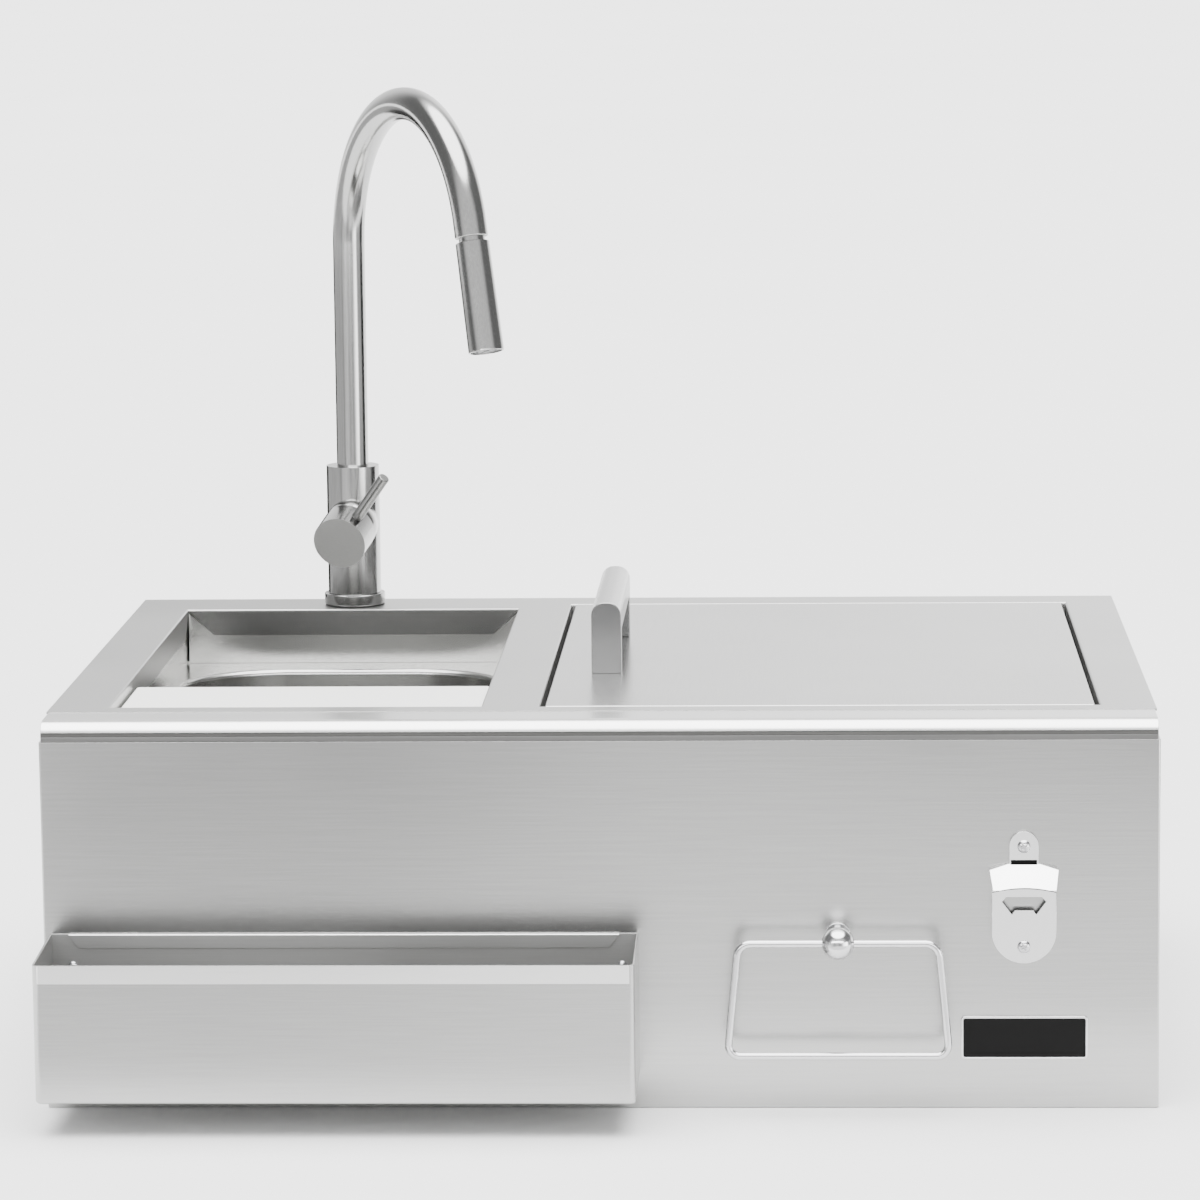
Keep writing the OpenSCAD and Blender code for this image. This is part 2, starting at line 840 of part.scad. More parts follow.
module bin_insulation() {
    out = bowl_t + foam_gap + foam_t;
    gap = bowl_t + foam_gap;
    color("wheat") translate([chest_x, chest_y, rim_top - bowl_t]) difference() {
        translate([0, 0, foam_bottom - rim_top + bowl_t]) {
            plate(bin_w + 2 * out, bin_l + 2 * out, rim_top - bowl_t - foam_bottom, foam_t);
        }
        translate([0, 0, tiny]) tub(bin_w + 2 * gap, bin_l + 2 * gap,
            bin_depth - bowl_t + gap, bin_r + gap, 0, bin_fillet + gap);
        translate([0, 0, -bin_depth - 2 * foam_t]) cylinder(r = bin_pipe_r + 1, h = 3 * foam_t);
    }
}

module bin_drain() {
    color(chrome) translate([chest_x, chest_y, 0]) rotate_extrude() polygon([
        [bin_in_r, bin_floor + drain_flange_t],
        [drain_flange_r, bin_floor + drain_flange_t], [drain_flange_r, bin_floor],
        [bin_pipe_r, bin_floor], [bin_pipe_r, bin_step_z], [bin_nozzle_r, bin_step_z],
        [bin_nozzle_r, bin_pipe_clear], [bin_in_r, bin_pipe_clear]]);
}

module bin_drain_nut() {
    color(chrome) translate([chest_x, chest_y, foam_bottom - bin_nut_t]) difference() {
        cylinder(r = bin_pipe_r + 8, h = bin_nut_t, $fn = 6);
        translate([0, 0, -e]) cylinder(r = bin_pipe_r + snug, h = bin_nut_t + 2 * e);
    }
}

module bin_grate() {
    holes = 8;
    t = 1.2;
    color(steel) translate([chest_x, chest_y, bin_floor + drain_flange_t]) difference() {
        cylinder(r = drain_flange_r - 4, h = t);
        for (i = [0:holes - 1]) {
            rotate([0, 0, i * 360 / holes]) {
                translate([6.5, 0, -e]) cylinder(r = 1.8, h = t + 2 * e);
            }
        }
    }
}

// Lid

module lid_skin() {
    h = lid_t - skin_t;
    color(steel) difference() {
        translate([lid_x0, lid_y0, deck_z - h]) cube([lid_w, lid_l, h]);
        translate([lid_x0 + skin_t, lid_y0 + skin_t, deck_z - h - e]) {
            cube([lid_w - 2 * skin_t, lid_l - 2 * skin_t, h + e - skin_t]);
        }
        hinge_bore(snug);
        handle_holes(screw_r + snug);
    }
}

// bore for the hinge pins
module hinge_bore(gap) {
    translate([pin_x, lid_y0 - e, pin_z]) {
        rotate([-90, 0, 0]) cylinder(r = pin_r + gap, h = pin_in + e);
    }
    translate([pin_x, lid_y1 - pin_in, pin_z]) {
        rotate([-90, 0, 0]) cylinder(r = pin_r + gap, h = pin_in + e);
    }
}

// holes of radius r through the lid's top for the handle's screws
module handle_holes(r) {
    for (side = [-1, 1]) {
        translate([handle_x, handle_y + side * (handle_l - handle_leg) / 2, deck_z - lid_t + 3]) {
            cylinder(r = r, h = lid_t);
        }
    }
}

module lid_core() {
    top = deck_z - skin_t - snug;
    bottom = deck_z - lid_t + skin_t;
    in = skin_t + snug;
    color("wheat") difference() {
        translate([lid_x0 + in, lid_y0 + in, bottom]) {
            cube([lid_w - 2 * in, lid_l - 2 * in, top - bottom]);
        }
        hinge_bore(snug);
        handle_holes(screw_head_r + 1);
    }
}

module lid_liner() {
    color(steel) translate([lid_x0, lid_y0, deck_z - lid_t]) cube([lid_w, lid_l, skin_t]);
}

module lid_gasket() {
    in = pin_inset + 0.5;
    color("dimgray") translate([lid_x0, lid_y0, deck_z - lid_t - gasket_t]) difference() {
        translate([in, in, 0]) cube([lid_w - 2 * in, lid_l - 2 * in, gasket_t]);
        translate([in + gasket_w, in + gasket_w, -e]) {
            cube([lid_w - 2 * in - 2 * gasket_w, lid_l - 2 * in - 2 * gasket_w,
                gasket_t + 2 * e]);
        }
    }
}

module lid_handle() {
    color(steel) difference() {
        translate([handle_x, handle_y + handle_l / 2, deck_z]) rotate([90, 0, 0]) {
            linear_extrude(handle_l) {
                translate([-handle_w / 2, 0]) square([handle_w, handle_h - grip_r]);
                translate([grip_r - handle_w / 2, 0]) square([handle_w - 2 * grip_r, handle_h]);
                for (side = [-1, 1]) {
                    translate([side * (handle_w / 2 - grip_r), handle_h - grip_r]) circle(grip_r);
                }
            }
        }
        translate([handle_x - handle_w / 2 - e, handle_y - handle_l / 2 + handle_leg, deck_z - e]) {
            cube([handle_w + 2 * e, handle_l - 2 * handle_leg, handle_h - grip_t + e]);
        }
        translate([0, 0, screw_grip + 1 - lid_t + lid_t - 3]) handle_holes(screw_r + snug);
    }
}

module handle_screws() {
    color(steel) for (side = [-1, 1]) {
        translate([handle_x, handle_y + side * (handle_l - handle_leg) / 2, deck_z - skin_t]) {
            cylinder(r = screw_r, h = screw_grip);
            translate([0, 0, -screw_head_t]) cylinder(r = screw_head_r, h = screw_head_t);
        }
    }
}

module lid_pins() {
    len = pin_in + lid_gap_end + sheet;
    color(steel) {
        translate([pin_x, lid_y0 - lid_gap_end - sheet, pin_z]) {
            rotate([-90, 0, 0]) cylinder(r = pin_r, h = len);
        }
        translate([pin_x, lid_y1 - pin_in, pin_z]) {
            rotate([-90, 0, 0]) cylinder(r = pin_r, h = len);
        }
    }
}

// Speed rail

// plan of the rail from its back at y = 0, drawn in by t
module rail_plan(t) {
    r = rail_bend - t;
    w = rail_w;
    translate([t, rail_bend - rail_d]) square([w - 2 * t, rail_d - rail_bend - t]);
    translate([rail_bend, t - rail_d]) square([w - 2 * rail_bend, rail_bend]);
    for (x = [rail_bend, w - rail_bend]) {
        translate([x, rail_bend - rail_d]) circle(r);
    }
}

module speed_rail() {
    color(steel) difference() {
        translate([rail_x0, y_front, rail_bottom_z]) {
            difference() {
                linear_extrude(rail_h) rail_plan(0);
                translate([0, 0, sheet]) linear_extrude(rail_h) rail_plan(sheet);
                rotate([90, 0, 90]) translate([0, 0, -e]) linear_extrude(rail_w + 2 * e) {
                    polygon([[-sheet, rail_h], [-rail_d - e, rail_h - rail_dip],
                        [-rail_d - e, rail_h + e], [-sheet, rail_h + e]]);
                }
            }
            translate([hem_end, -2 * sheet, rail_h]) hem();
            translate([hem_end, sheet - rail_d, rail_h - rail_dip - 0.3]) hem();
        }
        for (x = rail_screw_xs) {
            translate([x, y_front - sheet - e, rail_screw_z]) {
                rotate([-90, 0, 0]) cylinder(r = rail_screw_r + snug, h = sheet + 2 * e);
            }
        }
    }
}

// folded hem along the rail, hanging from z = 0
module hem() {
    flange(rail_w - 2 * hem_end, hem_h, hem_h * 0.7, sheet);
}

module rail_screws() {
    color(chrome) for (x = rail_screw_xs) {
        translate([x, y_front - sheet, rail_screw_z]) rotate([-90, 0, 0]) {
            cylinder(r = rail_screw_r, h = 2 * sheet + rail_nut_t + 1);
            dome_head(rail_head_r, 2.2);
        }
    }
}

// dome of radius r and height h that stands on z = 0 and points to -Z
module dome_head(r, h) {
    s = (r * r + h * h) / (2 * h);
    intersection() {
        translate([0, 0, s - h]) sphere(s);
        translate([0, 0, -h - e]) cylinder(r = r, h = h + e);
    }
}

module rail_nuts() {
    color(chrome) for (x = rail_screw_xs) {
        translate([x, y_front + sheet, rail_screw_z]) rotate([-90, 0, 0]) difference() {
            cylinder(r = rail_nut_r, h = rail_nut_t, $fn = 6);
            translate([0, 0, -e]) cylinder(r = rail_screw_r + snug, h = rail_nut_t + 2 * e);
        }
    }
}

// Towel loop

module loop_post() {
    len = loop_out - ball_r + 2;
    color(chrome) translate([loop_x, y_front, loop_z]) rotate([90, 0, 0]) difference() {
        union() {
            cylinder(r = rosette_r, h = rosette_t);
            cylinder(r = post_r, h = len);
        }
        translate([0, 0, -e]) cylinder(r = loop_screw_r + snug, h = 10 + e);
    }
}

module loop_ball() {
    len = loop_out - ball_r + 2;
    color(chrome) translate([loop_x, loop_y, loop_z]) difference() {
        rotate([90, 0, 0]) rotate([0, 0, 90]) sphere(ball_r);
        rotate([0, 90, 0]) translate([0, 0, -ball_r - e]) {
            cylinder(r = wire_r + run, h = 2 * ball_r + 2 * e);
        }
        translate([0, loop_out, 0]) rotate([90, 0, 0]) cylinder(r = post_r + snug, h = len + snug);
    }
}

function unit(v) = v / norm(v);
function turn_of(a, b) = acos(unit(a) * unit(b));

// sleeve round z = 0 that joins two lengths of wire
module joint(rw) {
    translate([0, 0, -joint_l / 2]) cylinder(r = rw + joint_t, h = joint_l);
}

// closed wire of radius rw through pts, counter-clockwise in the XY plane, with
// corners rounded by rc
module wire_loop(pts, rc, rw) {
    n = len(pts);
    for (i = [0:n - 1]) {
        p0 = pts[(i + n - 1) % n];
        p1 = pts[i];
        p2 = pts[(i + 1) % n];
        p3 = pts[(i + 2) % n];
        d1 = unit(p1 - p0);
        d2 = unit(p2 - p1);
        phi = turn_of(d1, d2);
        cut = rc * tan(phi / 2);
        next_cut = rc * tan(turn_of(d2, p3 - p2) / 2);
        c = p1 - d1 * cut + [-d1[1], d1[0]] * rc;
        slack = joint_slack / rc * 180 / PI;
        translate(c) rotate([0, 0, atan2(d1[1], d1[0]) - 90 + slack]) {
            rotate_extrude(angle = phi - 2 * slack) translate([rc, 0]) circle(rw);
        }
        run_l = norm(p2 - p1) - cut - next_cut;
        translate(p1 + d2 * cut) rotate([0, 0, atan2(d2[1], d2[0])]) rotate([0, 90, 0]) {
            translate([0, 0, joint_slack]) cylinder(r = rw, h = run_l - 2 * joint_slack);
            joint(rw);
            translate([0, 0, run_l]) joint(rw);
        }
    }
}

module towel_loop() {
    color(chrome) translate([loop_x, loop_y, loop_z]) rotate([90, 0, 0]) {
        wire_loop([[-loop_top_w / 2, 0], [-loop_bottom_w / 2, -loop_h],
            [loop_bottom_w / 2, -loop_h], [loop_top_w / 2, 0]], loop_r, wire_r);
    }
}

module loop_screw() {
    color(chrome) translate([loop_x, y_front + sheet, loop_z]) rotate([90, 0, 0]) {
        cylinder(r = loop_screw_r, h = 9);
        translate([0, 0, -3]) cylinder(r = 6, h = 3);
    }
}

// Cap opener

// outline of the opener's lower body in the XY plane, top of the opener at y = 0,
// drawn in by t
module opener_body(t) {
    r = opener_w / 2;
    translate([0, r - opener_h]) circle(r - t);
    translate([t - r, r - opener_h]) square([opener_w - 2 * t, opener_h - r - tab_drop - 8 - t]);
}

// mouth that a bottle's cap goes into
module opener_mouth() {
    w = mouth_w / 2;
    y = -mouth_drop;
    polygon([[-w + 3, y], [w - 3, y], [w, y - 3.4], [w - 7, y - mouth_h - mouth_notch],
        [w - 9, y - mouth_h], [9 - w, y - mouth_h], [7 - w, y - mouth_h - mouth_notch],
        [-w, y - 3.4]]);
}

// front outline of the hood
module hood_outline() {
    w = opener_w / 2;
    polygon([[-opener_tab_w / 2 - 1, -tab_drop], [opener_tab_w / 2 + 1, -tab_drop],
        [w + hood_wide / 2, -tab_drop - 3.6], [w - 0.9, -tab_drop - 3.6 - hood_h],
        [w * 0.45, -tab_drop - 1.7 - hood_h], [-w * 0.45, -tab_drop - 1.7 - hood_h],
        [0.9 - w, -tab_drop - 3.6 - hood_h], [-w - hood_wide / 2, -tab_drop - 3.6]]);
}

module bottle_opener() {
    tab_t = 3;
    low = tab_drop + 3.6 + hood_h;
    color(chrome) translate([opener_x, y_front, opener_z]) rotate([90, 0, 0]) difference() {
        union() {
            linear_extrude(tab_t) {
                translate([0, -opener_tab_w / 2]) circle(opener_tab_w / 2);
                translate([-opener_tab_w / 2, -tab_drop - 5]) {
                    square([opener_tab_w, tab_drop + 5 - opener_tab_w / 2]);
                }
            }
            difference() {
                linear_extrude(shell_out) opener_body(0);
                translate([0, 0, -e]) linear_extrude(shell_out - shell_t + e) opener_body(shell_t);
            }
            translate([0, -opener_screw_drop - opener_pitch, 0]) {
                cylinder(r = opener_head_r + 1.5, h = shell_out - shell_t + 0.5);
            }
            intersection() {
                linear_extrude(hood_out + e) hood_outline();
                rotate([90, 0, 90]) translate([0, 0, -opener_w]) linear_extrude(2 * opener_w) {
                    polygon([[-tab_drop, 0], [-tab_drop, tab_t], [-low + 3, hood_out],
                        [-low, hood_out], [-low, hood_out - 2.5],
                        [-low + 3.5, hood_out - 2.6], [-tab_drop - 7, shell_out - shell_t],
                        [-tab_drop - 7, 0]]);
                }
            }
        }
        translate([0, 0, -e]) linear_extrude(hood_out) opener_mouth();
        translate([0, -opener_screw_drop, -e]) cylinder(r = opener_screw_r + snug, h = 20);
        translate([0, -opener_screw_drop - opener_pitch, -e]) {
            cylinder(r = opener_screw_r + snug, h = 20);
        }
        translate([-opener_tab_w / 2 + 1, -tab_drop - 0.4, tab_t - 1.6]) {
            cube([opener_tab_w - 2, 3.2, 3]);
        }
    }
}

module opener_screws() {
    color(chrome) translate([opener_x, y_front, opener_z]) rotate([90, 0, 0]) {
        opener_screw(opener_screw_drop, 3);
        opener_screw(opener_screw_drop + opener_pitch, shell_out);
    }
}

// screw at a distance below the opener's top, its head on a face z above the panel
module opener_screw(drop, z) {
    head_h = 2.2;
    translate([0, -drop, 0]) difference() {
        union() {
            translate([0, 0, -sheet - 5]) cylinder(r = opener_screw_r, h = z + sheet + 5);
            translate([0, 0, z]) rotate([180, 0, 0]) dome_head(opener_head_r, head_h);
        }
        for (turn = [30, 120]) {
            translate([0, 0, z + head_h]) rotate([0, 0, turn]) cube([5.2, 1.1, 2.4], center = true);
        }
    }
}

// Badge

module badge_rim() {
    color(chrome) translate([badge_x, y_front, badge_z]) rotate([90, 0, 0]) difference() {
        plate(badge_w, badge_h, badge_t, badge_r);
        translate([0, 0, 0.8]) {
            plate(badge_w - 2 * badge_rim_w, badge_h - 2 * badge_rim_w, badge_t,
                badge_r - badge_rim_w);
        }
    }
}

module badge_plate() {
    gap = badge_rim_w + snug;
    color("black") translate([badge_x, y_front, badge_z]) rotate([90, 0, 0]) {
        translate([0, 0, 0.8]) {
            plate(badge_w - 2 * gap, badge_h - 2 * gap, 0.9, badge_r - badge_rim_w);
        }
    }
}

// Tap, drawn with its axis at the origin and the deck at z = 0

module at_tap() {
    translate([tap_x, tap_y, deck_z]) children();
}

module tap_gasket() {
    color("black") at_tap() pipe(ring_r - 0.6, shank_r + snug, pad_t);
}

module base_ring() {
    color(steel) at_tap() translate([0, 0, pad_t]) {
        pipe(ring_r, shank_r + snug, ring_top - pad_t);
    }
}

module tap_body() {
    color(steel) at_tap() difference() {
        union() {
            translate([0, 0, ring_top]) cylinder(r = body_r, h = body_h - ring_top);
            translate([0, 0, lever_z]) rotate([90, 0, 0]) cylinder(r = boss_r, h = pivot_out);
            translate([0, -pivot_out, lever_z]) sphere(boss_r);
        }
        translate([0, 0, ring_top - e]) cylinder(r = shank_r + snug, h = shank_up + e);
        cylinder(r = hose_r + 0.2, h = body_h);
        for (side = [-1, 1]) {
            translate([side * supply_off, 0, ring_top]) {
                cylinder(r = supply_top_r + snug, h = shank_up + supply_up + snug);
            }
        }
        translate([0, 0, body_h - column_in - snug]) {
            cylinder(r = tube_r + run, h = column_in + e);
        }
        translate([0, -cart_back, lever_z]) rotate([90, 0, 0]) {
            cylinder(r = boss_bore, h = pivot_out + boss_r);
        }
    }
}

module tap_shank() {
    h = shank_l + ring_top + shank_up;
    color("peru") at_tap() translate([0, 0, -shank_l]) pipe(shank_r, shank_in, h);
}

module shank_washer() {
    color(steel) at_tap() translate([0, 0, -sheet - 2]) pipe(nut_r, shank_r + snug, 2);
}

module shank_nut() {
    h = 10;
    color("peru") at_tap() translate([0, 0, -sheet - 2 - h]) difference() {
        cylinder(r = nut_r, h = h, $fn = 6);
        translate([0, 0, -e]) cylinder(r = shank_r + snug, h = h + 2 * e);
    }
}

module supply_tails() {
    low = -shank_l - supply_l;
    step = -shank_l - supply_step;
    top = ring_top + shank_up + supply_up;
    in_r = supply_r - 1.5;
    color("peru") at_tap() for (side = [-1, 1]) {
        translate([side * supply_off, 0, 0]) rotate_extrude() polygon([
            [in_r, low], [supply_r, low], [supply_r, step], [supply_top_r, step],
            [supply_top_r, top], [in_r, top]]);
    }
}

// turns to the direction that the spout points in
module at_spout() {
    at_tap() rotate([0, 0, spout_turn]) children();
}

// end of the spout's bend, with +Z running out of it
module at_bend_end() {
    x = bend_r - bend_r * cos(bend_angle);
    z = bend_z + bend_r * sin(bend_angle);
    at_spout() translate([x, 0, z]) rotate([0, bend_angle, 0]) children();
}

// tube that rises from z to the bend and follows it up to an angle
module bent_tube(z, angle, ro, ri) {
    at_spout() union() {
        translate([0, 0, z]) pipe(ro, ri, bend_z - z);
        translate([bend_r, 0, bend_z]) rotate([90, 0, 0]) {
            rotate_extrude(angle = angle, start = 180 - angle) {
                translate([bend_r, 0]) difference() {
                    circle(ro);
                    circle(ri);
                }
            }
        }
    }
}

module spout() {
    color(steel) {
        bent_tube(body_h - column_in, bend_angle, tube_r, tube_r - tube_t);
        at_bend_end() translate([0, 0, -ferrule_lap]) {
            pipe(tube_r + ferrule_t, dock_r + snug, spout_end + ferrule_lap);
        }
    }
}

module spout_bush() {
    color("white") at_tap() translate([0, 0, body_h - column_in]) {
        pipe(tube_r - tube_t - snug, hose_r + snug, bush_h);
    }
}

module spray_dock() {
    color("white") at_bend_end() translate([0, 0, dock_from]) {
        pipe(dock_r, dock_in, spout_end - dock_from);
    }
}

module spray_hose() {
    color("gray") bent_tube(ring_top + shank_up + 2, hose_end_angle, hose_r, hose_r - 1.5);
}

module spray_head() {
    color(steel) at_bend_end() difference() {
        union() {
            translate([0, 0, spout_end + rest]) cylinder(r = neck_r, h = head_gap);
            translate([0, 0, head_from]) {
                cylinder(r1 = head_top_r, r2 = head_end_r, h = head_l);
            }
        }
        translate([0, 0, spout_end]) cylinder(r = dock_in - run + snug, h = head_l);
        translate([0, 0, head_from + 6]) {
            cylinder(r1 = head_top_r - head_wall, r2 = head_end_r - head_wall, h = head_l - 6 + 0.01);
        }
    }
}

module spray_core() {
    color("white") at_bend_end() difference() {
        union() {
            translate([0, 0, stub_from]) cylinder(r = hose_r, h = spigot_in - stub_from);
            translate([0, 0, spigot_in]) {
                cylinder(r = dock_in - run, h = head_to - spigot_in - 8);
            }
        }
        translate([0, 0, stub_from - e]) cylinder(r = hose_r - 1.5, h = head_to - stub_from);
    }
}

module spray_face() {
    holes = 8;
    t = 5;
    color("dimgray") at_bend_end() translate([0, 0, head_to - t - 0.8]) difference() {
        cylinder(r = head_end_r - head_wall - 0.15, h = t);
        translate([0, 0, -e]) cylinder(r = 2.4, h = t + 2 * e);
        for (i = [0:holes - 1]) {
            rotate([0, 0, i * 360 / holes]) translate([7.5, 0, -e]) cylinder(r = 0.9, h = t + 2 * e);
        }
    }
}

// valve's own axis: +Z runs out of the boss, with the tilt point at z = 0
module at_valve() {
    at_tap() translate([0, -pivot_out, lever_z]) rotate([90, 0, 0]) children();
}

// lever as shown: +Z along the cap, +X along the rod
module at_lever() {
    at_valve() rotate([0, 0, lever_angle]) rotate([0, -lever_tilt, 0]) children();
}

module cartridge() {
    h = cart_front - cart_back - snug;
    color("white") at_valve() translate([0, 0, cart_back + snug - pivot_out]) difference() {
        cylinder(r = boss_bore - snug, h = h);
        translate([0, 0, pivot_out - cart_back - rotor_half - 2 * snug]) {
            cylinder(r = rotor_r + run, h = h);
        }
        for (side = [-1, 1]) {
            translate([side * 5, -4, -e]) cylinder(r = 2.2, h = h);
        }
        translate([0, 5, -e]) cylinder(r = 2.8, h = h);
    }
}

module cartridge_nut() {
    z = cart_front - pivot_out + snug;
    color("peru") at_valve() translate([0, 0, z]) difference() {
        cylinder(r = boss_bore - snug, h = 4);
        translate([0, 0, -e]) cylinder(r = boss_bore - 2.6, h = 4 + 2 * e);
    }
}

module lever_rotor() {
    color("gray") at_valve() rotate([0, 0, lever_angle]) difference() {
        translate([0, 0, -rotor_half]) cylinder(r = rotor_r, h = 2 * rotor_half);
        translate([-8, -fork_w / 2, -3.4]) cube([16, fork_w, 2 * rotor_half]);
        rotate([90, 0, 0]) translate([0, 0, -rotor_r - e]) {
            cylinder(r = tilt_pin_r + run, h = 2 * rotor_r + 2 * e);
        }
    }
}

module lever_stem() {
    color(chrome) at_lever() {
        cylinder(r = stem_r, h = cap_mid + 4);
        sphere(stem_r + 0.2);
        rotate([90, 0, 0]) translate([0, 0, 1.5 - rotor_r]) {
            cylinder(r = tilt_pin_r, h = 2 * rotor_r - 3);
        }
    }
}

module lever_cap() {
    color(steel) at_lever() difference() {
        translate([0, 0, cap_rim]) cylinder(r = cap_r, h = cap_l);
        sphere(recess_r);
        cylinder(r = stem_r + snug, h = cap_mid + 4 + snug);
        translate([0, 0, cap_mid]) rotate([0, 90, 0]) {
            translate([0, 0, stem_r + 3]) cylinder(r = rod_r + snug, h = cap_r);
        }
    }
}

module lever_rod() {
    color(steel) at_lever() translate([0, 0, cap_mid]) rotate([0, 90, 0]) {
        translate([0, 0, stem_r + 3 + snug]) cylinder(r = rod_r, h = rod_reach - stem_r - 4);
        translate([0, 0, rod_reach - 1]) cylinder(r1 = rod_r, r2 = rod_r - 0.8, h = 1);
    }
}

deck();
nose_rail();
front_panel();
side_panel_left();
side_panel_right();
back_panel();
bottom_pan();
sink_collar();
sink_bowl();
board_runners();
cutting_board();
strainer_body();
strainer_gasket();
strainer_nut();
strainer_basket();
drain_tail();
slip_nut();
ice_bin();
bin_insulation();
bin_drain();
bin_drain_nut();
bin_grate();
lid_skin();
lid_core();
lid_liner();
lid_gasket();
lid_handle();
handle_screws();
lid_pins();
speed_rail();
rail_screws();
rail_nuts();
loop_post();
loop_ball();
towel_loop();
loop_screw();
bottle_opener();
opener_screws();
badge_rim();
badge_plate();
tap_gasket();
base_ring();
tap_body();
tap_shank();
shank_washer();
shank_nut();
supply_tails();
spout();
spout_bush();
spray_dock();
spray_hose();
spray_head();
spray_core();
spray_face();
cartridge();
cartridge_nut();
lever_rotor();
lever_stem();
lever_cap();
lever_rod();
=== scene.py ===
import json
import math

import bmesh
import bpy
from mathutils import Matrix, Vector

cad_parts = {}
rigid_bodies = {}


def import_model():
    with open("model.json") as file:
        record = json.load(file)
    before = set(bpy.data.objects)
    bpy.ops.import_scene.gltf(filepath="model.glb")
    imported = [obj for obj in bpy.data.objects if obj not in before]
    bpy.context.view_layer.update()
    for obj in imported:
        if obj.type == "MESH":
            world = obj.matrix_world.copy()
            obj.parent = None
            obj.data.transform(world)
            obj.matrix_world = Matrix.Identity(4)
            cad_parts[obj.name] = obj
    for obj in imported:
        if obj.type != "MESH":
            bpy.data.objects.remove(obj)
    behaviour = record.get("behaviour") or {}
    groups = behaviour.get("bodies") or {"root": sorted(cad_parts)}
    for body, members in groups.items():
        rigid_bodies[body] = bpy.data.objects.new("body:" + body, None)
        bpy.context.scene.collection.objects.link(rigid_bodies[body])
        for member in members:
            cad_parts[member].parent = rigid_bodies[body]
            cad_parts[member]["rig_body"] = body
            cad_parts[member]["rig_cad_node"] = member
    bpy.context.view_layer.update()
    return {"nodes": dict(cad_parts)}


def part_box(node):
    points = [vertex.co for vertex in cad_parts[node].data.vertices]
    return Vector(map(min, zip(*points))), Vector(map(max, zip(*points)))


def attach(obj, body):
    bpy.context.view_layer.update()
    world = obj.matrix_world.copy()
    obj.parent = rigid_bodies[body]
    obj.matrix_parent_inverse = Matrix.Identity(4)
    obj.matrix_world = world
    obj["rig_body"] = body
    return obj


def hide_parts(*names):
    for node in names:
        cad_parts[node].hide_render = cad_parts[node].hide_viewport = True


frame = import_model()
print("frame loaded")


def mm(*values):  # millimetres to metres
    return Vector(values) / 1000 if len(values) > 1 else values[0] / 1000


def clearSelection():
    bpy.ops.object.select_all(action="DESELECT")


def activate(piece):
    clearSelection()
    piece.select_set(True)
    bpy.context.view_layer.objects.active = piece


def startEdit(piece, mode="FACE"):
    activate(piece)
    bpy.ops.object.mode_set(mode="EDIT")
    bpy.ops.mesh.select_mode(type=mode)
    bpy.ops.mesh.select_all(action="DESELECT")


def endEdit():
    bpy.ops.object.mode_set(mode="OBJECT")


def pickFaces(piece, test):  # test takes a face's centre and normal
    shape = bmesh.from_edit_mesh(piece.data)
    for face in shape.faces:
        face.select_set(bool(test(face.calc_center_median(), face.normal)))
    bmesh.update_edit_mesh(piece.data)


def pickEdges(piece, test):  # test takes an edge's two ends
    shape = bmesh.from_edit_mesh(piece.data)
    for edge in shape.edges:
        edge.select_set(bool(test(edge.verts[0].co, edge.verts[1].co)))
    bmesh.update_edit_mesh(piece.data)


def pickVerts(piece, test):
    shape = bmesh.from_edit_mesh(piece.data)
    for vert in shape.verts:
        vert.select_set(bool(test(vert.co)))
    bmesh.update_edit_mesh(piece.data)


def near(a, b, gap=2e-5):
    return abs(a - b) < gap


def upright(a, b):  # whether the edge between two points stands upright
    return near(a.x, b.x) and near(a.y, b.y)


def atHeight(z):  # test for edges that lie level at this height
    return lambda a, b: near(a.z, z) and near(b.z, z)


def applyModifier(piece, kind, **settings):
    activate(piece)
    modifier = piece.modifiers.new(kind.lower(), kind)
    for key, value in settings.items():
        setattr(modifier, key, value)
    bpy.ops.object.modifier_apply(modifier=modifier.name)


def bevelEdges(piece, width, segments=2, angle=30):
    applyModifier(piece, "BEVEL", width=width, segments=segments, limit_method="ANGLE",
                  angle_limit=math.radians(angle), miter_outer="MITER_ARC")


def smooth(piece, angle=32):
    activate(piece)
    bpy.ops.object.shade_smooth_by_angle(angle=math.radians(angle))
    applyModifier(piece, "WEIGHTED_NORMAL", keep_sharp=True)


def fixNormals(piece):
    startEdit(piece)
    bpy.ops.mesh.select_all(action="SELECT")
    bpy.ops.mesh.remove_doubles(threshold=1e-6)
    bpy.ops.mesh.normals_make_consistent(inside=False)
    endEdit()


# turns all faces over if the level ones at this height look down
def turnUp(piece, height, gap=2e-5):
    startEdit(piece)
    bpy.ops.mesh.select_all(action="SELECT")
    faces = bmesh.from_edit_mesh(piece.data).faces
    level = next(face for face in faces if near(face.calc_center_median().z, height, gap))
    if level.normal.z < 0:
        bpy.ops.mesh.flip_normals()
    endEdit()


# new primitive, made by the given operator with its settings
def newPiece(name, make, scale=(1, 1, 1), **settings):
    clearSelection()
    make(**settings)
    piece = bpy.context.object
    piece.name = piece.data.name = name
    piece.scale = scale
    bpy.ops.object.transform_apply(location=True, rotation=True, scale=True)
    return piece


def boxPiece(name, low, high):
    low, high = Vector(low), Vector(high)
    return newPiece(name, bpy.ops.mesh.primitive_cube_add, high - low, size=1,
                    location=(low + high) / 2)


def tubePiece(name, radius, depth, centre, turn=(0, 0, 0), vertices=64):
    return newPiece(name, bpy.ops.mesh.primitive_cylinder_add, vertices=vertices, radius=radius,
                    depth=depth, location=centre, rotation=turn)


def sheetPiece(name, width, length, centre, turn=(0, 0, 0)):
    return newPiece(name, bpy.ops.mesh.primitive_plane_add, (width, length, 1), size=1,
                    location=centre, rotation=turn)


def cutWith(piece, cutter):
    applyModifier(piece, "BOOLEAN", object=cutter, operation="DIFFERENCE", solver="EXACT")
    bpy.data.objects.remove(cutter)


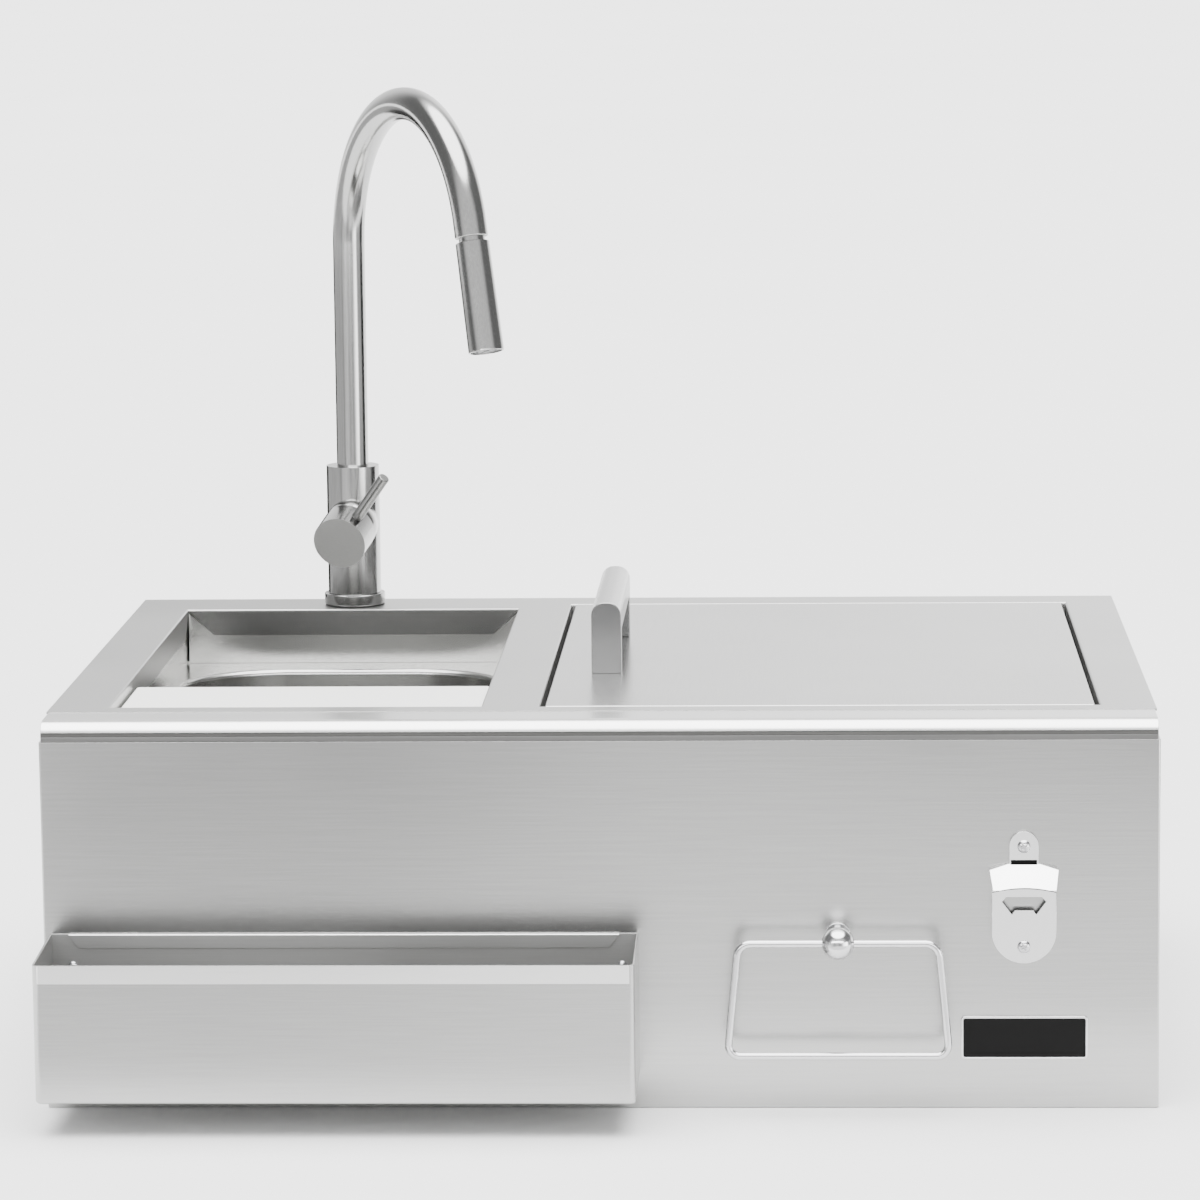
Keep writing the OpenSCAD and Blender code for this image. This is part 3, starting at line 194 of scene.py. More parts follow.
# merged copy of a CAD node, with its edges rounded off
def softCopy(name, node, width, segments=2, angle=30):
    source = frame["nodes"][node]
    piece = source.copy()
    piece.data = source.data.copy()
    piece.name = piece.data.name = name
    piece.parent = None
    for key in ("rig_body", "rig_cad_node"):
        del piece[key]
    bpy.context.scene.collection.objects.link(piece)
    startEdit(piece)
    bpy.ops.mesh.select_all(action="SELECT")
    bpy.ops.mesh.customdata_custom_splitnormals_clear()
    bpy.ops.mesh.remove_doubles(threshold=2e-6)
    bpy.ops.mesh.dissolve_limited(angle_limit=math.radians(0.2))
    endEdit()
    if width:
        bevelEdges(piece, width, segments, angle)
    smooth(piece, angle)
    return piece


def dress(piece, body, slot, material, *nodes):
    piece.data.materials.clear()
    piece.data.materials.append(material)
    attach(piece, body)
    if nodes:
        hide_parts(*nodes)


# one softened copy for each row: name, node, body, slot, material, and the edges' width in
# millimetres and number of segments
def copyParts(rows):
    for name, node, body, slot, material, edge, segments in rows:
        dress(softCopy(name, node, mm(edge), segments), body, slot, material, node)


# gives the faces that pass the test a second material
def paintFaces(piece, material, test):
    piece.data.materials.append(material)
    startEdit(piece)
    pickFaces(piece, test)
    piece.active_material_index = len(piece.data.materials) - 1
    bpy.ops.object.material_slot_assign()
    endEdit()


# Materials

def linear(hexColour):  # sRGB hex to linear RGBA
    parts = [int(hexColour[i:i + 2], 16) / 255 for i in (1, 3, 5)]
    return tuple(c / 12.92 if c <= 0.04045 else ((c + 0.055) / 1.055) ** 2.4 for c in parts) + (1,)


# adds one node; an input's value is a number, a colour or another node's output
def addNode(tree, kind, inputs=(), **settings):
    made = tree.nodes.new(kind)
    for key, value in settings.items():
        setattr(made, key, value)
    for key, value in dict(inputs).items():
        if isinstance(value, bpy.types.NodeSocket):
            tree.links.new(value, made.inputs[key])
        else:
            made.inputs[key].default_value = value
    return made


def newMaterial(name):
    material = bpy.data.materials.new(name)
    material.use_nodes = True
    tree = material.node_tree
    shader = tree.nodes["Principled BSDF"]
    place = addNode(tree, "ShaderNodeTexCoord").outputs["Object"]
    return material, tree, shader, place


def ramp(tree, factor, stops):
    made = addNode(tree, "ShaderNodeValToRGB", {"Fac": factor})
    points = made.color_ramp.elements
    while len(points) < len(stops):
        points.new(0.5)
    for point, (at, colour) in zip(points, stops):
        point.position = at
        point.color = colour if len(colour) == 4 else (colour[0], colour[0], colour[0], 1)
    return made.outputs["Color"]


handMm = 180  # a hand's width


# stainless steel brushed with a belt: fine parallel lines that spread the light, and a
# gloss that drifts over a hand's width
# grainMm is the spacing of the lines, which is coarser than the real 0.1 mm so that it
# shows, and lineMm is how long a line runs
def brushedSteel(name, colour, along, roughness, grainMm=0.9, lineMm=60, contrast=0.035):
    material, tree, shader, place = newMaterial(name)
    across, down, drift = 1000 / grainMm, 1000 / lineMm, 1000 / handMm
    scale = [across] * 3
    scale["xyz".index(along)] = down
    lines = addNode(tree, "ShaderNodeMapping", {"Vector": place, "Scale": scale})
    grain = addNode(tree, "ShaderNodeTexNoise",
                    {"Vector": lines.outputs["Vector"], "Scale": 1, "Detail": 3, "Roughness": 0.6})
    mottle = addNode(tree, "ShaderNodeTexNoise",
                     {"Vector": place, "Scale": drift, "Detail": 2, "Roughness": 0.5})
    grey = linear(colour)
    dark, light = [tuple(c * k for c in grey[:3]) + (1,) for k in (1 - contrast, 1 + contrast)]
    tint = ramp(tree, grain.outputs["Fac"], [(0.3, dark), (0.7, light)])
    tree.links.new(tint, shader.inputs["Base Color"])
    rough = addNode(tree, "ShaderNodeMapRange",
                    {"Value": mottle.outputs["Fac"], "From Min": 0.3, "From Max": 0.7,
                     "To Min": roughness * 0.9, "To Max": roughness * 1.1})
    tree.links.new(rough.outputs["Result"], shader.inputs["Roughness"])
    bump = addNode(tree, "ShaderNodeBump",
                   {"Height": grain.outputs["Fac"], "Strength": 0.12, "Distance": mm(0.05)})
    tree.links.new(bump.outputs["Normal"], shader.inputs["Normal"])
    shader.inputs["Metallic"].default_value = 1
    return material


# cast or drawn steel, buffed bright: almost a mirror, with faint soft waves
def buffedSteel(name, colour, roughness):
    material, tree, shader, place = newMaterial(name)
    haze = addNode(tree, "ShaderNodeTexNoise",
                   {"Vector": place, "Scale": 400, "Detail": 2, "Roughness": 0.5})
    rough = addNode(tree, "ShaderNodeMapRange",
                    {"Value": haze.outputs["Fac"], "From Min": 0.3, "From Max": 0.7,
                     "To Min": roughness * 0.8, "To Max": roughness * 1.25})
    tree.links.new(rough.outputs["Result"], shader.inputs["Roughness"])
    grey = linear(colour)
    tint = ramp(tree, haze.outputs["Fac"],
                [(0.2, tuple(c * 0.96 for c in grey[:3]) + (1,)), (0.8, grey)])
    tree.links.new(tint, shader.inputs["Base Color"])
    shader.inputs["Metallic"].default_value = 1
    return material


# moulded or cut plastic and rubber: a fine pebble that dulls the gloss
def plastic(name, colour, roughness, pebbleMm=1.2, strength=0.1, spread=0.05, gloss=0.5):
    material, tree, shader, place = newMaterial(name)
    pebble = addNode(tree, "ShaderNodeTexNoise",
                     {"Vector": place, "Scale": 1000 / pebbleMm, "Detail": 3, "Roughness": 0.55})
    base = linear(colour)
    low, high = [tuple(min(1, c * k) for c in base[:3]) + (1,) for k in (1 - spread, 1 + spread)]
    tree.links.new(ramp(tree, pebble.outputs["Fac"], [(0.3, low), (0.7, high)]),
                   shader.inputs["Base Color"])
    bump = addNode(tree, "ShaderNodeBump",
                   {"Height": pebble.outputs["Fac"], "Strength": strength, "Distance": mm(0.1)})
    tree.links.new(bump.outputs["Normal"], shader.inputs["Normal"])
    shader.inputs["Roughness"].default_value = roughness
    shader.inputs["Specular IOR Level"].default_value = gloss
    return material


sheetSteel = brushedSteel("brushedStainlessSheet", "#b2b2b1", "x", 0.24)
deckSteel = brushedSteel("brushedStainlessDeck", "#b2b2b1", "x", 0.34)
# painted highlight: a near-white copy of the sheet steel for the speed rail's top band and hem
# tops
hemHighlightSteel = brushedSteel("paintedHighlightRailHem", "#f2f2f1", "x", 0.26)
# painted shade: darker copies of the sheet steel for the bands under the front rail's nose
lipShadeSteel = brushedSteel("paintedShadeNoseLip", "#727271", "x", 0.34)
shadeSteel = brushedSteel("paintedShadeNoseBand", "#3c3c3b", "x", 0.34)
insideSteel = brushedSteel("milledStainlessInside", "#a6a6a5", "x", 0.45)
# painted highlight: a lighter copy of the sheet steel, so the front rail's nose shines brighter
noseHighlightSteel = brushedSteel("paintedHighlightNose", "#dadad9", "x", 0.24)
sideSteel = brushedSteel("brushedStainlessSide", "#b0b0af", "y", 0.32)
lidSteel = brushedSteel("brushedStainlessLid", "#b6b6b5", "y", 0.26)
bowlSteel = brushedSteel("satinStainlessBowl", "#b4b4b2", "z", 0.22, 1.4, 20)
collarSteel = brushedSteel("satinStainlessCollar", "#bebebc", "x", 0.24)
# painted shade: a darker copy of the sheet steel for the back flange of the sink opening
flangeShadeSteel = brushedSteel("paintedShadeSinkFlange", "#8a8a89", "x", 0.24)
handleSteel = brushedSteel("brushedStainlessHandle", "#a0a09f", "y", 0.2)
# painted shade: a darker copy of the handle steel for its ends and right side
handleShadeSteel = brushedSteel("paintedShadeHandleSides", "#6e6e6e", "z", 0.24)
rodSteel = brushedSteel("turnedStainlessRod", "#8c8c8b", "z", 0.34, 0.6, 6)
capSteel = brushedSteel("turnedStainlessCap", "#b4b4b3", "x", 0.5, 0.8, 8)
tubeSteel = brushedSteel("brushedStainlessTube", "#a8a8a7", "z", 0.17, 0.8, 30, 0.07)
brightSteel = buffedSteel("buffedStainless", "#cfcfd0", 0.12)
screwSteel = buffedSteel("turnedStainless", "#c0c0c2", 0.2)
boardPlastic = plastic("milledPolyethylene", "#f2f2ef", 0.45, 2.0, 0.15, 0.02)
darkRubber = plastic("mouldedRubber", "#1b1b1b", 0.6)
whiteNylon = plastic("mouldedNylon", "#e6e6e2", 0.4)
greyNylon = plastic("mouldedGreyNylon", "#6d6f72", 0.4)
darkNylon = plastic("mouldedDarkNylon", "#2b2c2e", 0.35)
foam = plastic("cutUrethaneFoam", "#dccf9d", 0.9, 2.5, 0.5, 0.12)
brass = brushedSteel("turnedBrass", "#b8935a", "x", 0.3, 0.6, 4)
openerSteel = brushedSteel("polishedOpenerSteel", "#e4e4e4", "z", 0.14, 0.6, 20)
# painted shade: near black for the opener's slot and the groove under its hood
openerShadeBlack = plastic("paintedShadeOpenerRecess", "#0b0b0b", 0.8, 0.8, 0.1, 0.1, 0.1)
blackEnamel = plastic("bakedBlackEnamel", "#050505", 0.5, 0.8, 0.04, 0.1, 0.12)
print("materials made")


# Deck and cabinet

through = 0.02  # length of a cutter that goes right through a sheet
# sink and chest are the openings' left, right, front and back edges; a flange is drawn in
# by its mitre at each end
deck = {"height": 278, "sheet": 1.5, "bend": 1.6, "sinkFlange": 21, "sinkMitre": 20,
        "chestMitre": 1, "seamY": -246.5, "sink": (-351.5, -85, -227.5, 232.5),
        "chest": (-43, 354.5, -229, 254), "tapHole": 17.4, "tap": (-219, 260.5)}


def deckPiece():
    low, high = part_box("deck")
    top = high.z
    piece = sheetPiece("deckSheet", high.x - low.x, high.y - low.y,
                       ((low.x + high.x) / 2, (low.y + high.y) / 2, top))
    startEdit(piece)
    for axis, values in enumerate(((*deck["sink"][:2], *deck["chest"][:2]),
                                   (*deck["sink"][2:], *deck["chest"][2:]))):
        for value in values:
            point, normal = [0, 0, top], [0, 0, 0]
            point[axis], normal[axis] = mm(value), 1
            bpy.ops.mesh.select_all(action="SELECT")
            bpy.ops.mesh.bisect(plane_co=point, plane_no=normal)
    openings = [[mm(v) for v in deck[key]] for key in ("sink", "chest")]
    pickFaces(piece, lambda c, n: any(x0 < c.x < x1 and y0 < c.y < y1
                                      for x0, x1, y0, y1 in openings))
    bpy.ops.mesh.delete(type="FACE")
    bpy.ops.mesh.select_mode(type="EDGE")
    onTop = atHeight(top)
    flanges = ((mm(deck["sinkFlange"]), mm(deck["sinkMitre"])),
               (top - low.z, mm(deck["chestMitre"])))
    for (x0, x1, y0, y1), (drop, draw) in zip(openings, flanges):
        for axis, value in ((0, x0), (0, x1), (1, y0), (1, y1)):
            span = ((y0, y1), (x0, x1))[axis]
            pickEdges(piece, lambda a, b: near(a[axis], value) and near(b[axis], value)
                      and onTop(a, b)
                      and span[0] - 1e-5 < min(a[1 - axis], b[1 - axis])
                      and max(a[1 - axis], b[1 - axis]) < span[1] + 1e-5)
            bpy.ops.mesh.extrude_region_move(TRANSFORM_OT_translate={"value": (0, 0, -drop)})
            shrink = [1, 1, 1]
            shrink[1 - axis] = 1 - 2 * draw / (span[1] - span[0])
            bpy.ops.transform.resize(value=shrink)
    endEdit()
    fixNormals(piece)
    turnUp(piece, top)
    bevelEdges(piece, mm(deck["bend"]), 4, 60)
    applyModifier(piece, "SOLIDIFY", thickness=mm(deck["sheet"]), offset=-1, use_even_offset=True)
    hole = tubePiece("tapHole", mm(deck["tapHole"]), through, mm(*deck["tap"], deck["height"]))
    cutWith(piece, hole)
    smooth(piece)
    dress(piece, "cabinet", "steel", deckSteel, "deck")
    # the flange at the back of the sink opening is painted darker, a painted shade
    back = mm(deck["sink"][3])
    paintFaces(piece, flangeShadeSteel, lambda c, n: n.y < -0.9 and near(c.y, back, mm(3))
               and c.z > top - mm(deck["sinkFlange"] + 2) and c.x < 0)


# shade and foot are the depths at which the two bands of painted shade under the nose begin
rail = {"height": 14, "nose": 12.3, "edge": 0.35, "shade": 7.5, "foot": 10.5}


def frontRailPiece():
    low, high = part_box("nose_rail")
    shade, foot = high.z - mm(rail["shade"]), high.z - mm(rail["foot"])
    piece = boxPiece("frontRail", (low.x, low.y, high.z - mm(rail["height"])),
                     (high.x, mm(deck["seamY"]), high.z))
    startEdit(piece, "EDGE")
    onTop = atHeight(high.z)
    pickEdges(piece, lambda a, b: near(a.y, low.y) and near(b.y, low.y) and onTop(a, b))
    bpy.ops.mesh.bevel(offset=mm(rail["nose"]), segments=16, affect="EDGES")
    endEdit()
    startEdit(piece)
    for level in (shade, foot):
        bpy.ops.mesh.select_all(action="SELECT")
        bpy.ops.mesh.bisect(plane_co=(0, 0, level), plane_no=(0, 0, 1))
    endEdit()
    bevelEdges(piece, mm(rail["edge"]), 2, 40)
    smooth(piece)
    # the whole rail takes the lighter steel, a painted highlight
    dress(piece, "cabinet", "steel", noseHighlightSteel, "nose_rail")
    # painted shade: a dark band, then a less dark one, under the nose's highlight
    paintFaces(piece, shadeSteel, lambda c, n: foot < c.z < shade and abs(n.x) < 0.5)
    paintFaces(piece, lipShadeSteel, lambda c, n: c.z < foot and abs(n.x) < 0.5)


panel = {"sheet": 1.5, "short": 0.2, "fold": 1.5, "edge": 0.3}


def frontPanelPiece():
    low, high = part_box("front_panel")
    piece = boxPiece("frontPanel", low, (high.x, high.y, high.z - mm(panel["short"])))
    startEdit(piece)
    pickFaces(piece, lambda c, n: n.y > 0.9 or n.z < -0.9)
    bpy.ops.mesh.delete(type="FACE")
    bpy.ops.mesh.select_mode(type="EDGE")
    pickEdges(piece, lambda a, b: near(a.y, low.y) and near(b.y, low.y) and near(a.x, b.x))
    bpy.ops.mesh.bevel(offset=mm(panel["fold"]), segments=4, affect="EDGES")
    endEdit()
    bevelEdges(piece, mm(panel["edge"]), 2, 60)
    applyModifier(piece, "SOLIDIFY", thickness=mm(panel["sheet"]), offset=-1,
                  use_even_offset=True)
    smooth(piece)
    dress(piece, "cabinet", "steel", sheetSteel, "front_panel")


panelParts = (("sidePanelLeft", "side_panel_left", "cabinet", "steel", sideSteel, 0.3, 2),
              ("sidePanelRight", "side_panel_right", "cabinet", "steel", sideSteel, 0.3, 2),
              ("backPanel", "back_panel", "cabinet", "steel", sheetSteel, 0.3, 2),
              ("bottomPan", "bottom_pan", "cabinet", "steel", sheetSteel, 0.3, 2),
              ("boardRunners", "board_runners", "cabinet", "steel", sheetSteel, 0.3, 2))

# the slot's cutter reaches past the back wall by inFront and behind, past the top by over,
# and into the left wall by aside
collar = {"fold": 6, "wall": 1.2, "gap": 1.5, "ledge": 1.4, "edge": 0.3,
          "aside": 0.05, "inFront": 1, "behind": 0.6, "over": 1}


# its back wall stops just short of the left wall, and leaves a narrow open slot
def collarPiece():
    low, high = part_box("sink_collar")
    piece = softCopy("sinkCollar", "sink_collar", mm(collar["edge"]), 2)
    sheet = mm(collar["wall"])
    left, back = low.x + mm(collar["fold"]) + sheet, high.y - mm(collar["fold"])
    cutter = boxPiece("collarCutter",
                      (left - mm(collar["aside"]), back - sheet - mm(collar["inFront"]),
                       low.z + mm(collar["ledge"])),
                      (left + mm(collar["gap"]), back + mm(collar["behind"]),
                       high.z + mm(collar["over"])))
    cutWith(piece, cutter)
    smooth(piece)
    dress(piece, "cabinet", "steel", collarSteel, "sink_collar")


deckPiece()
frontRailPiece()
frontPanelPiece()
copyParts(panelParts)
collarPiece()
print("cabinet made")


# Sink

# foot and rim are the bends at the floor and at the ledge, and drain is the hole's radius
bowl = {"sheet": 1.2, "corner": 75, "foot": 26, "rim": 4, "ledge": 1.02, "width": 252.5,
        "length": 393, "depth": 130, "draft": 6, "drain": 42.2}


# whether a point lies on the bowl's rim, a rounded rectangle
def isRim(point, centre, half, gap=1e-4):
    corner = mm(bowl["corner"])
    across = abs(point.x - centre.x) - (half.x - corner)
    along = abs(point.y - centre.y) - (half.y - corner)
    if across > 0 and along > 0:
        return abs(math.hypot(across, along) - corner) < gap * 3
    return near(max(across, along), corner, gap)


def bowlPiece():
    low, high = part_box("sink_bowl")
    centre, top = (low + high) / 2, high.z
    floor = top - mm(bowl["depth"])
    half = mm(bowl["width"] / 2, bowl["length"] / 2, 0)
    draft = mm(bowl["draft"])
    piece = boxPiece("sinkBowl", (centre.x - half.x, centre.y - half.y, floor),
                     (centre.x + half.x, centre.y + half.y, top))
    startEdit(piece, "EDGE")
    pickEdges(piece, upright)
    bpy.ops.mesh.bevel(offset=mm(bowl["corner"]), segments=14, affect="EDGES")
    bpy.ops.mesh.select_mode(type="FACE")
    pickFaces(piece, lambda c, n: n.z < -0.9)
    bpy.ops.transform.resize(value=(1 - draft / half.x, 1 - draft / half.y, 1))
    bpy.ops.mesh.select_mode(type="EDGE")
    pickEdges(piece, atHeight(floor))
    bpy.ops.mesh.bevel(offset=mm(bowl["foot"]), segments=8, affect="EDGES", clamp_overlap=False)
    bpy.ops.mesh.select_mode(type="FACE")
    pickFaces(piece, lambda c, n: n.z > 0.9 and near(c.z, top))
    bpy.ops.mesh.delete(type="FACE")
    # the ledge: the rim drawn out level by a small factor, then squared off at the collar
    bpy.ops.mesh.select_mode(type="EDGE")
    onTop = atHeight(top)
    pickEdges(piece, onTop)
    bpy.ops.mesh.extrude_region_move()
    bpy.ops.transform.resize(value=(bowl["ledge"], bowl["ledge"], 1))
    bpy.ops.mesh.select_mode(type="VERT")
    for axis in (0, 1):
        for side, target in ((-1, low[axis]), (1, high[axis])):
            straight = half[axis] - mm(bowl["corner"])
            pickVerts(piece, lambda p: near(p.z, top)
                      and side * (p[axis] - centre[axis]) > straight
                      and not isRim(p, centre, half))
            flat, shift = [1, 1, 1], [0, 0, 0]
            flat[axis] = 0
            bpy.ops.transform.resize(value=flat)
            verts = bmesh.from_edit_mesh(piece.data).verts
            shift[axis] = target - next(v.co[axis] for v in verts if v.select)
            bpy.ops.transform.translate(value=shift)
    endEdit()
    fixNormals(piece)
    turnUp(piece, floor, mm(1))
    startEdit(piece, "EDGE")
    pickEdges(piece, lambda a, b: isRim(a, centre, half) and isRim(b, centre, half)
              and onTop(a, b))
    bpy.ops.mesh.bevel(offset=mm(bowl["rim"]), segments=5, affect="EDGES")
    endEdit()
    applyModifier(piece, "SOLIDIFY", thickness=mm(bowl["sheet"]), offset=-1, use_even_offset=True)
    hole = tubePiece("drainHole", mm(bowl["drain"]), through, (centre.x, centre.y, floor))
    cutWith(piece, hole)
    smooth(piece, 40)
    dress(piece, "cabinet", "steel", bowlSteel, "sink_bowl")


board = {"corner": 3, "edge": 1.2}


def boardPiece():
    low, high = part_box("cutting_board")
    piece = boxPiece("cuttingBoard", low, high)
    startEdit(piece, "EDGE")
    pickEdges(piece, upright)
    bpy.ops.mesh.bevel(offset=mm(board["corner"]), segments=5, affect="EDGES")
    endEdit()
    bevelEdges(piece, mm(board["edge"]), 3, 40)
    smooth(piece)
    dress(piece, "board", "board", boardPlastic, "cutting_board")


drainParts = (
    ("strainerBody", "strainer_body", "cabinet", "bright_steel", brightSteel, 0.5, 2),
    ("strainerBasket", "strainer_basket", "basket", "bright_steel", brightSteel, 0.25, 2),
    ("strainerNut", "strainer_nut", "cabinet", "nylon", darkNylon, 0.6, 2),
    ("drainTail", "drain_tail", "cabinet", "bright_steel", brightSteel, 0.3, 2),
    ("slipNut", "slip_nut", "cabinet", "bright_steel", brightSteel, 0.6, 2),
    ("chestDrain", "bin_drain", "cabinet", "bright_steel", brightSteel, 0.4, 2),
    ("chestDrainNut", "bin_drain_nut", "cabinet", "bright_steel", brightSteel, 0.5, 2),
    ("chestGrate", "bin_grate", "cabinet", "bright_steel", brightSteel, 0.2, 2))

bowlPiece()
boardPiece()
copyParts(drainParts)
print("sink made")


# Ice chest and lid

def chestBinPiece():
    dress(softCopy("iceBin", "ice_bin", 0, angle=40), "cabinet", "steel", bowlSteel, "ice_bin")


lid = {"sheet": 1.2, "bend": 1.4}


def lidPiece():
    low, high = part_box("lid_skin")
    piece = boxPiece("lidSkin", low, high)
    startEdit(piece)
    pickFaces(piece, lambda c, n: n.z < -0.9)
    bpy.ops.mesh.delete(type="FACE")
    endEdit()
    bevelEdges(piece, mm(lid["bend"]), 4, 60)
    applyModifier(piece, "SOLIDIFY", thickness=mm(lid["sheet"]), offset=-1, use_even_offset=True)
    smooth(piece)
    dress(piece, "lid", "steel", lidSteel, "lid_skin")


handle = {"leg": 17, "grip": 22, "corner": 9.6, "edge": 0.7}


def handlePiece():
    low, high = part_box("lid_handle")
    leg, grip = mm(handle["leg"]), mm(handle["grip"])
    under = high.z - grip
    piece = boxPiece("lidHandle", low, (high.x, low.y + leg, under))
    startEdit(piece)
    pickFaces(piece, lambda c, n: n.z > 0.9)
    bpy.ops.mesh.extrude_region_move(TRANSFORM_OT_translate={"value": (0, 0, grip)})
    for step in (high.y - low.y - 2 * leg, leg):
        pickFaces(piece, lambda c, n: n.y > 0.9 and c.z > under)
        bpy.ops.mesh.extrude_region_move(TRANSFORM_OT_translate={"value": (0, step, 0)})
    pickFaces(piece, lambda c, n: n.z < -0.9 and c.y > high.y - leg and near(c.z, under))
    bpy.ops.mesh.extrude_region_move(TRANSFORM_OT_translate={"value": (0, 0, low.z - under)})
    bpy.ops.mesh.select_all(action="SELECT")
    bpy.ops.mesh.dissolve_limited(angle_limit=math.radians(1))
    bpy.ops.mesh.select_mode(type="EDGE")
    pickEdges(piece, lambda a, b: near(a.z, high.z) and near(b.z, high.z) and near(a.x, b.x))
    bpy.ops.mesh.bevel(offset=mm(handle["corner"]), segments=8, affect="EDGES")
    endEdit()
    bevelEdges(piece, mm(handle["edge"]), 3, 40)
    smooth(piece)
    dress(piece, "lid", "steel", handleSteel, "lid_handle")
    # painted shade on the handle's ends and its right side
    paintFaces(piece, handleShadeSteel, lambda c, n: abs(n.y) > 0.95 or n.x > 0.95)


lidParts = (("lidLiner", "lid_liner", "lid", "steel", lidSteel, 0.3, 3),
            ("lidGasket", "lid_gasket", "lid", "rubber", darkRubber, 1.0, 3),
            ("handleScrews", "handle_screws", "lid", "bright_steel", screwSteel, 0.4, 3),
            ("lidPins", "lid_pins", "lid", "bright_steel", screwSteel, 0.4, 3))

chestBinPiece()
lidPiece()
handlePiece()
copyParts(lidParts)
print("chest made")


# Speed rail

# the front is lower than the back by the dip, and its top band carries a painted highlight;
# a hem stops short of the ends by hemEnd, and its lower corners are cut back by hemCut of its
# height
trough = {"sheet": 1.5, "bend": 5, "foot": 2.5, "edge": 0.35, "dip": 3.5, "band": 13,
          "hem": 10, "hemEnd": 13.5, "hemCut": 0.7, "hemBelow": 0.3, "hemEdge": 0.25}


def troughPiece():
    low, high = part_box("speed_rail")
    dip, sheet = mm(trough["dip"]), mm(trough["sheet"])
    bandZ = high.z - dip - mm(trough["band"])
    piece = boxPiece("speedRail", low, high)
    startEdit(piece)
    pickFaces(piece, lambda c, n: n.z > 0.9)
    bpy.ops.mesh.delete(type="FACE")
    bpy.ops.mesh.select_mode(type="EDGE")
    pickEdges(piece, lambda a, b: upright(a, b) and near(a.y, low.y))
    bpy.ops.mesh.bevel(offset=mm(trough["bend"]), segments=6, affect="EDGES")
    pickEdges(piece, atHeight(low.z))
    bpy.ops.mesh.bevel(offset=mm(trough["foot"]), segments=4, affect="EDGES")
    bpy.ops.mesh.select_mode(type="VERT")
    pickVerts(piece, lambda p: near(p.z, high.z) and p.y < high.y - mm(10))
    bpy.ops.transform.translate(value=(0, 0, -dip))
    endEdit()
    applyModifier(piece, "SOLIDIFY", thickness=sheet, offset=-1, use_even_offset=True)
    startEdit(piece)
    bpy.ops.mesh.select_all(action="SELECT")
    bpy.ops.mesh.bisect(plane_co=(0, 0, bandZ), plane_no=(0, 0, 1))
    endEdit()
    bevelEdges(piece, mm(trough["edge"]), 2, 50)
    smooth(piece)
    dress(piece, "cabinet", "steel", sheetSteel, "speed_rail")
    # painted highlight on the rail's top front band
    paintFaces(piece, hemHighlightSteel, lambda c, n: n.y < -0.95 and near(c.y, low.y, 1e-4)
               and c.z > bandZ)
    skin, half = sheet * 0.9, sheet / 2

    def inside(c, n):
        if n.z > 0.9:
            return near(c.z, low.z + sheet, 1e-4)
        return (low.x + skin < c.x < high.x - skin and low.y + skin < c.y < high.y - half
                and c.z > low.z + skin)

    paintFaces(piece, insideSteel, inside)


# hem folded down against the inside of a wall, its lower corners cut back
def hemPiece(name, y, top):
    low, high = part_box("speed_rail")
    end, drop, sheet = mm(trough["hemEnd"]), mm(trough["hem"]), mm(trough["sheet"])
    piece = boxPiece(name, (low.x + end, y, top - drop), (high.x - end, y + sheet, top))
    startEdit(piece, "EDGE")
    pickEdges(piece, atHeight(top - drop))
    width = high.x - low.x - 2 * end
    bpy.ops.transform.resize(value=(1 - 2 * trough["hemCut"] * drop / width, 1, 1))
    onTop = atHeight(top)
    pickEdges(piece, lambda a, b: onTop(a, b) and near(a.y, b.y))
    bpy.ops.mesh.bevel(offset=sheet * 0.45, segments=3, affect="EDGES")
    endEdit()
    bevelEdges(piece, mm(trough["hemEdge"]), 2, 50)
    smooth(piece)
    dress(piece, "cabinet", "steel", insideSteel)
    # painted highlight on the hem's top
    paintFaces(piece, hemHighlightSteel, lambda c, n: n.z > 0.2)


def hemPieces():
    low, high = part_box("speed_rail")
    sheet = mm(trough["sheet"])
    hemPiece("railHemBack", high.y - 2 * sheet, high.z)
    hemPiece("railHemFront", low.y + sheet, high.z - mm(trough["dip"]) - mm(trough["hemBelow"]))


railParts = (("railScrews", "rail_screws", "cabinet", "bright_steel", screwSteel, 0.2, 2),
             ("railNuts", "rail_nuts", "cabinet", "bright_steel", screwSteel, 0.3, 2))

troughPiece()
hemPieces()
copyParts(railParts)
print("speed rail made")


# Towel loop

loop = {"x": 168, "y": -317.5, "z": 124.7, "wire": 2.75, "top": 139.5, "bottom": 155,
        "height": 80.3, "corner": 9}


def loopPiece():
    x, y, z = mm(loop["x"]), mm(loop["y"]), mm(loop["z"])
    drop = mm(loop["height"])
    piece = sheetPiece("towelLoop", mm(loop["bottom"]), drop, (x, y, z - drop / 2),
                       (math.radians(90), 0, 0))
    startEdit(piece, "EDGE")
    pickEdges(piece, atHeight(z))
    bpy.ops.transform.resize(value=(loop["top"] / loop["bottom"], 1, 1))
    bpy.ops.mesh.select_all(action="SELECT")
    bpy.ops.mesh.delete(type="ONLY_FACE")
    bpy.ops.mesh.select_all(action="SELECT")
    bpy.ops.mesh.bevel(offset=mm(loop["corner"]), segments=10, affect="VERTICES")
    endEdit()
    bpy.ops.object.convert(target="CURVE")
    piece = bpy.context.object
    piece.data.bevel_depth = mm(loop["wire"])
    piece.data.bevel_resolution = 6
    bpy.ops.object.convert(target="MESH")
    piece = bpy.context.object
    fixNormals(piece)
    smooth(piece, 50)
    dress(piece, "loop", "bright_steel", brightSteel, "towel_loop")


loopParts = (("loopBall", "loop_ball", "cabinet", "bright_steel", brightSteel, 0.3, 2),
             ("loopPost", "loop_post", "cabinet", "bright_steel", brightSteel, 0.5, 3),
             ("loopScrew", "loop_screw", "cabinet", "bright_steel", screwSteel, 0.4, 2))

loopPiece()
copyParts(loopParts)
print("towel loop made")


# Cap opener and badge

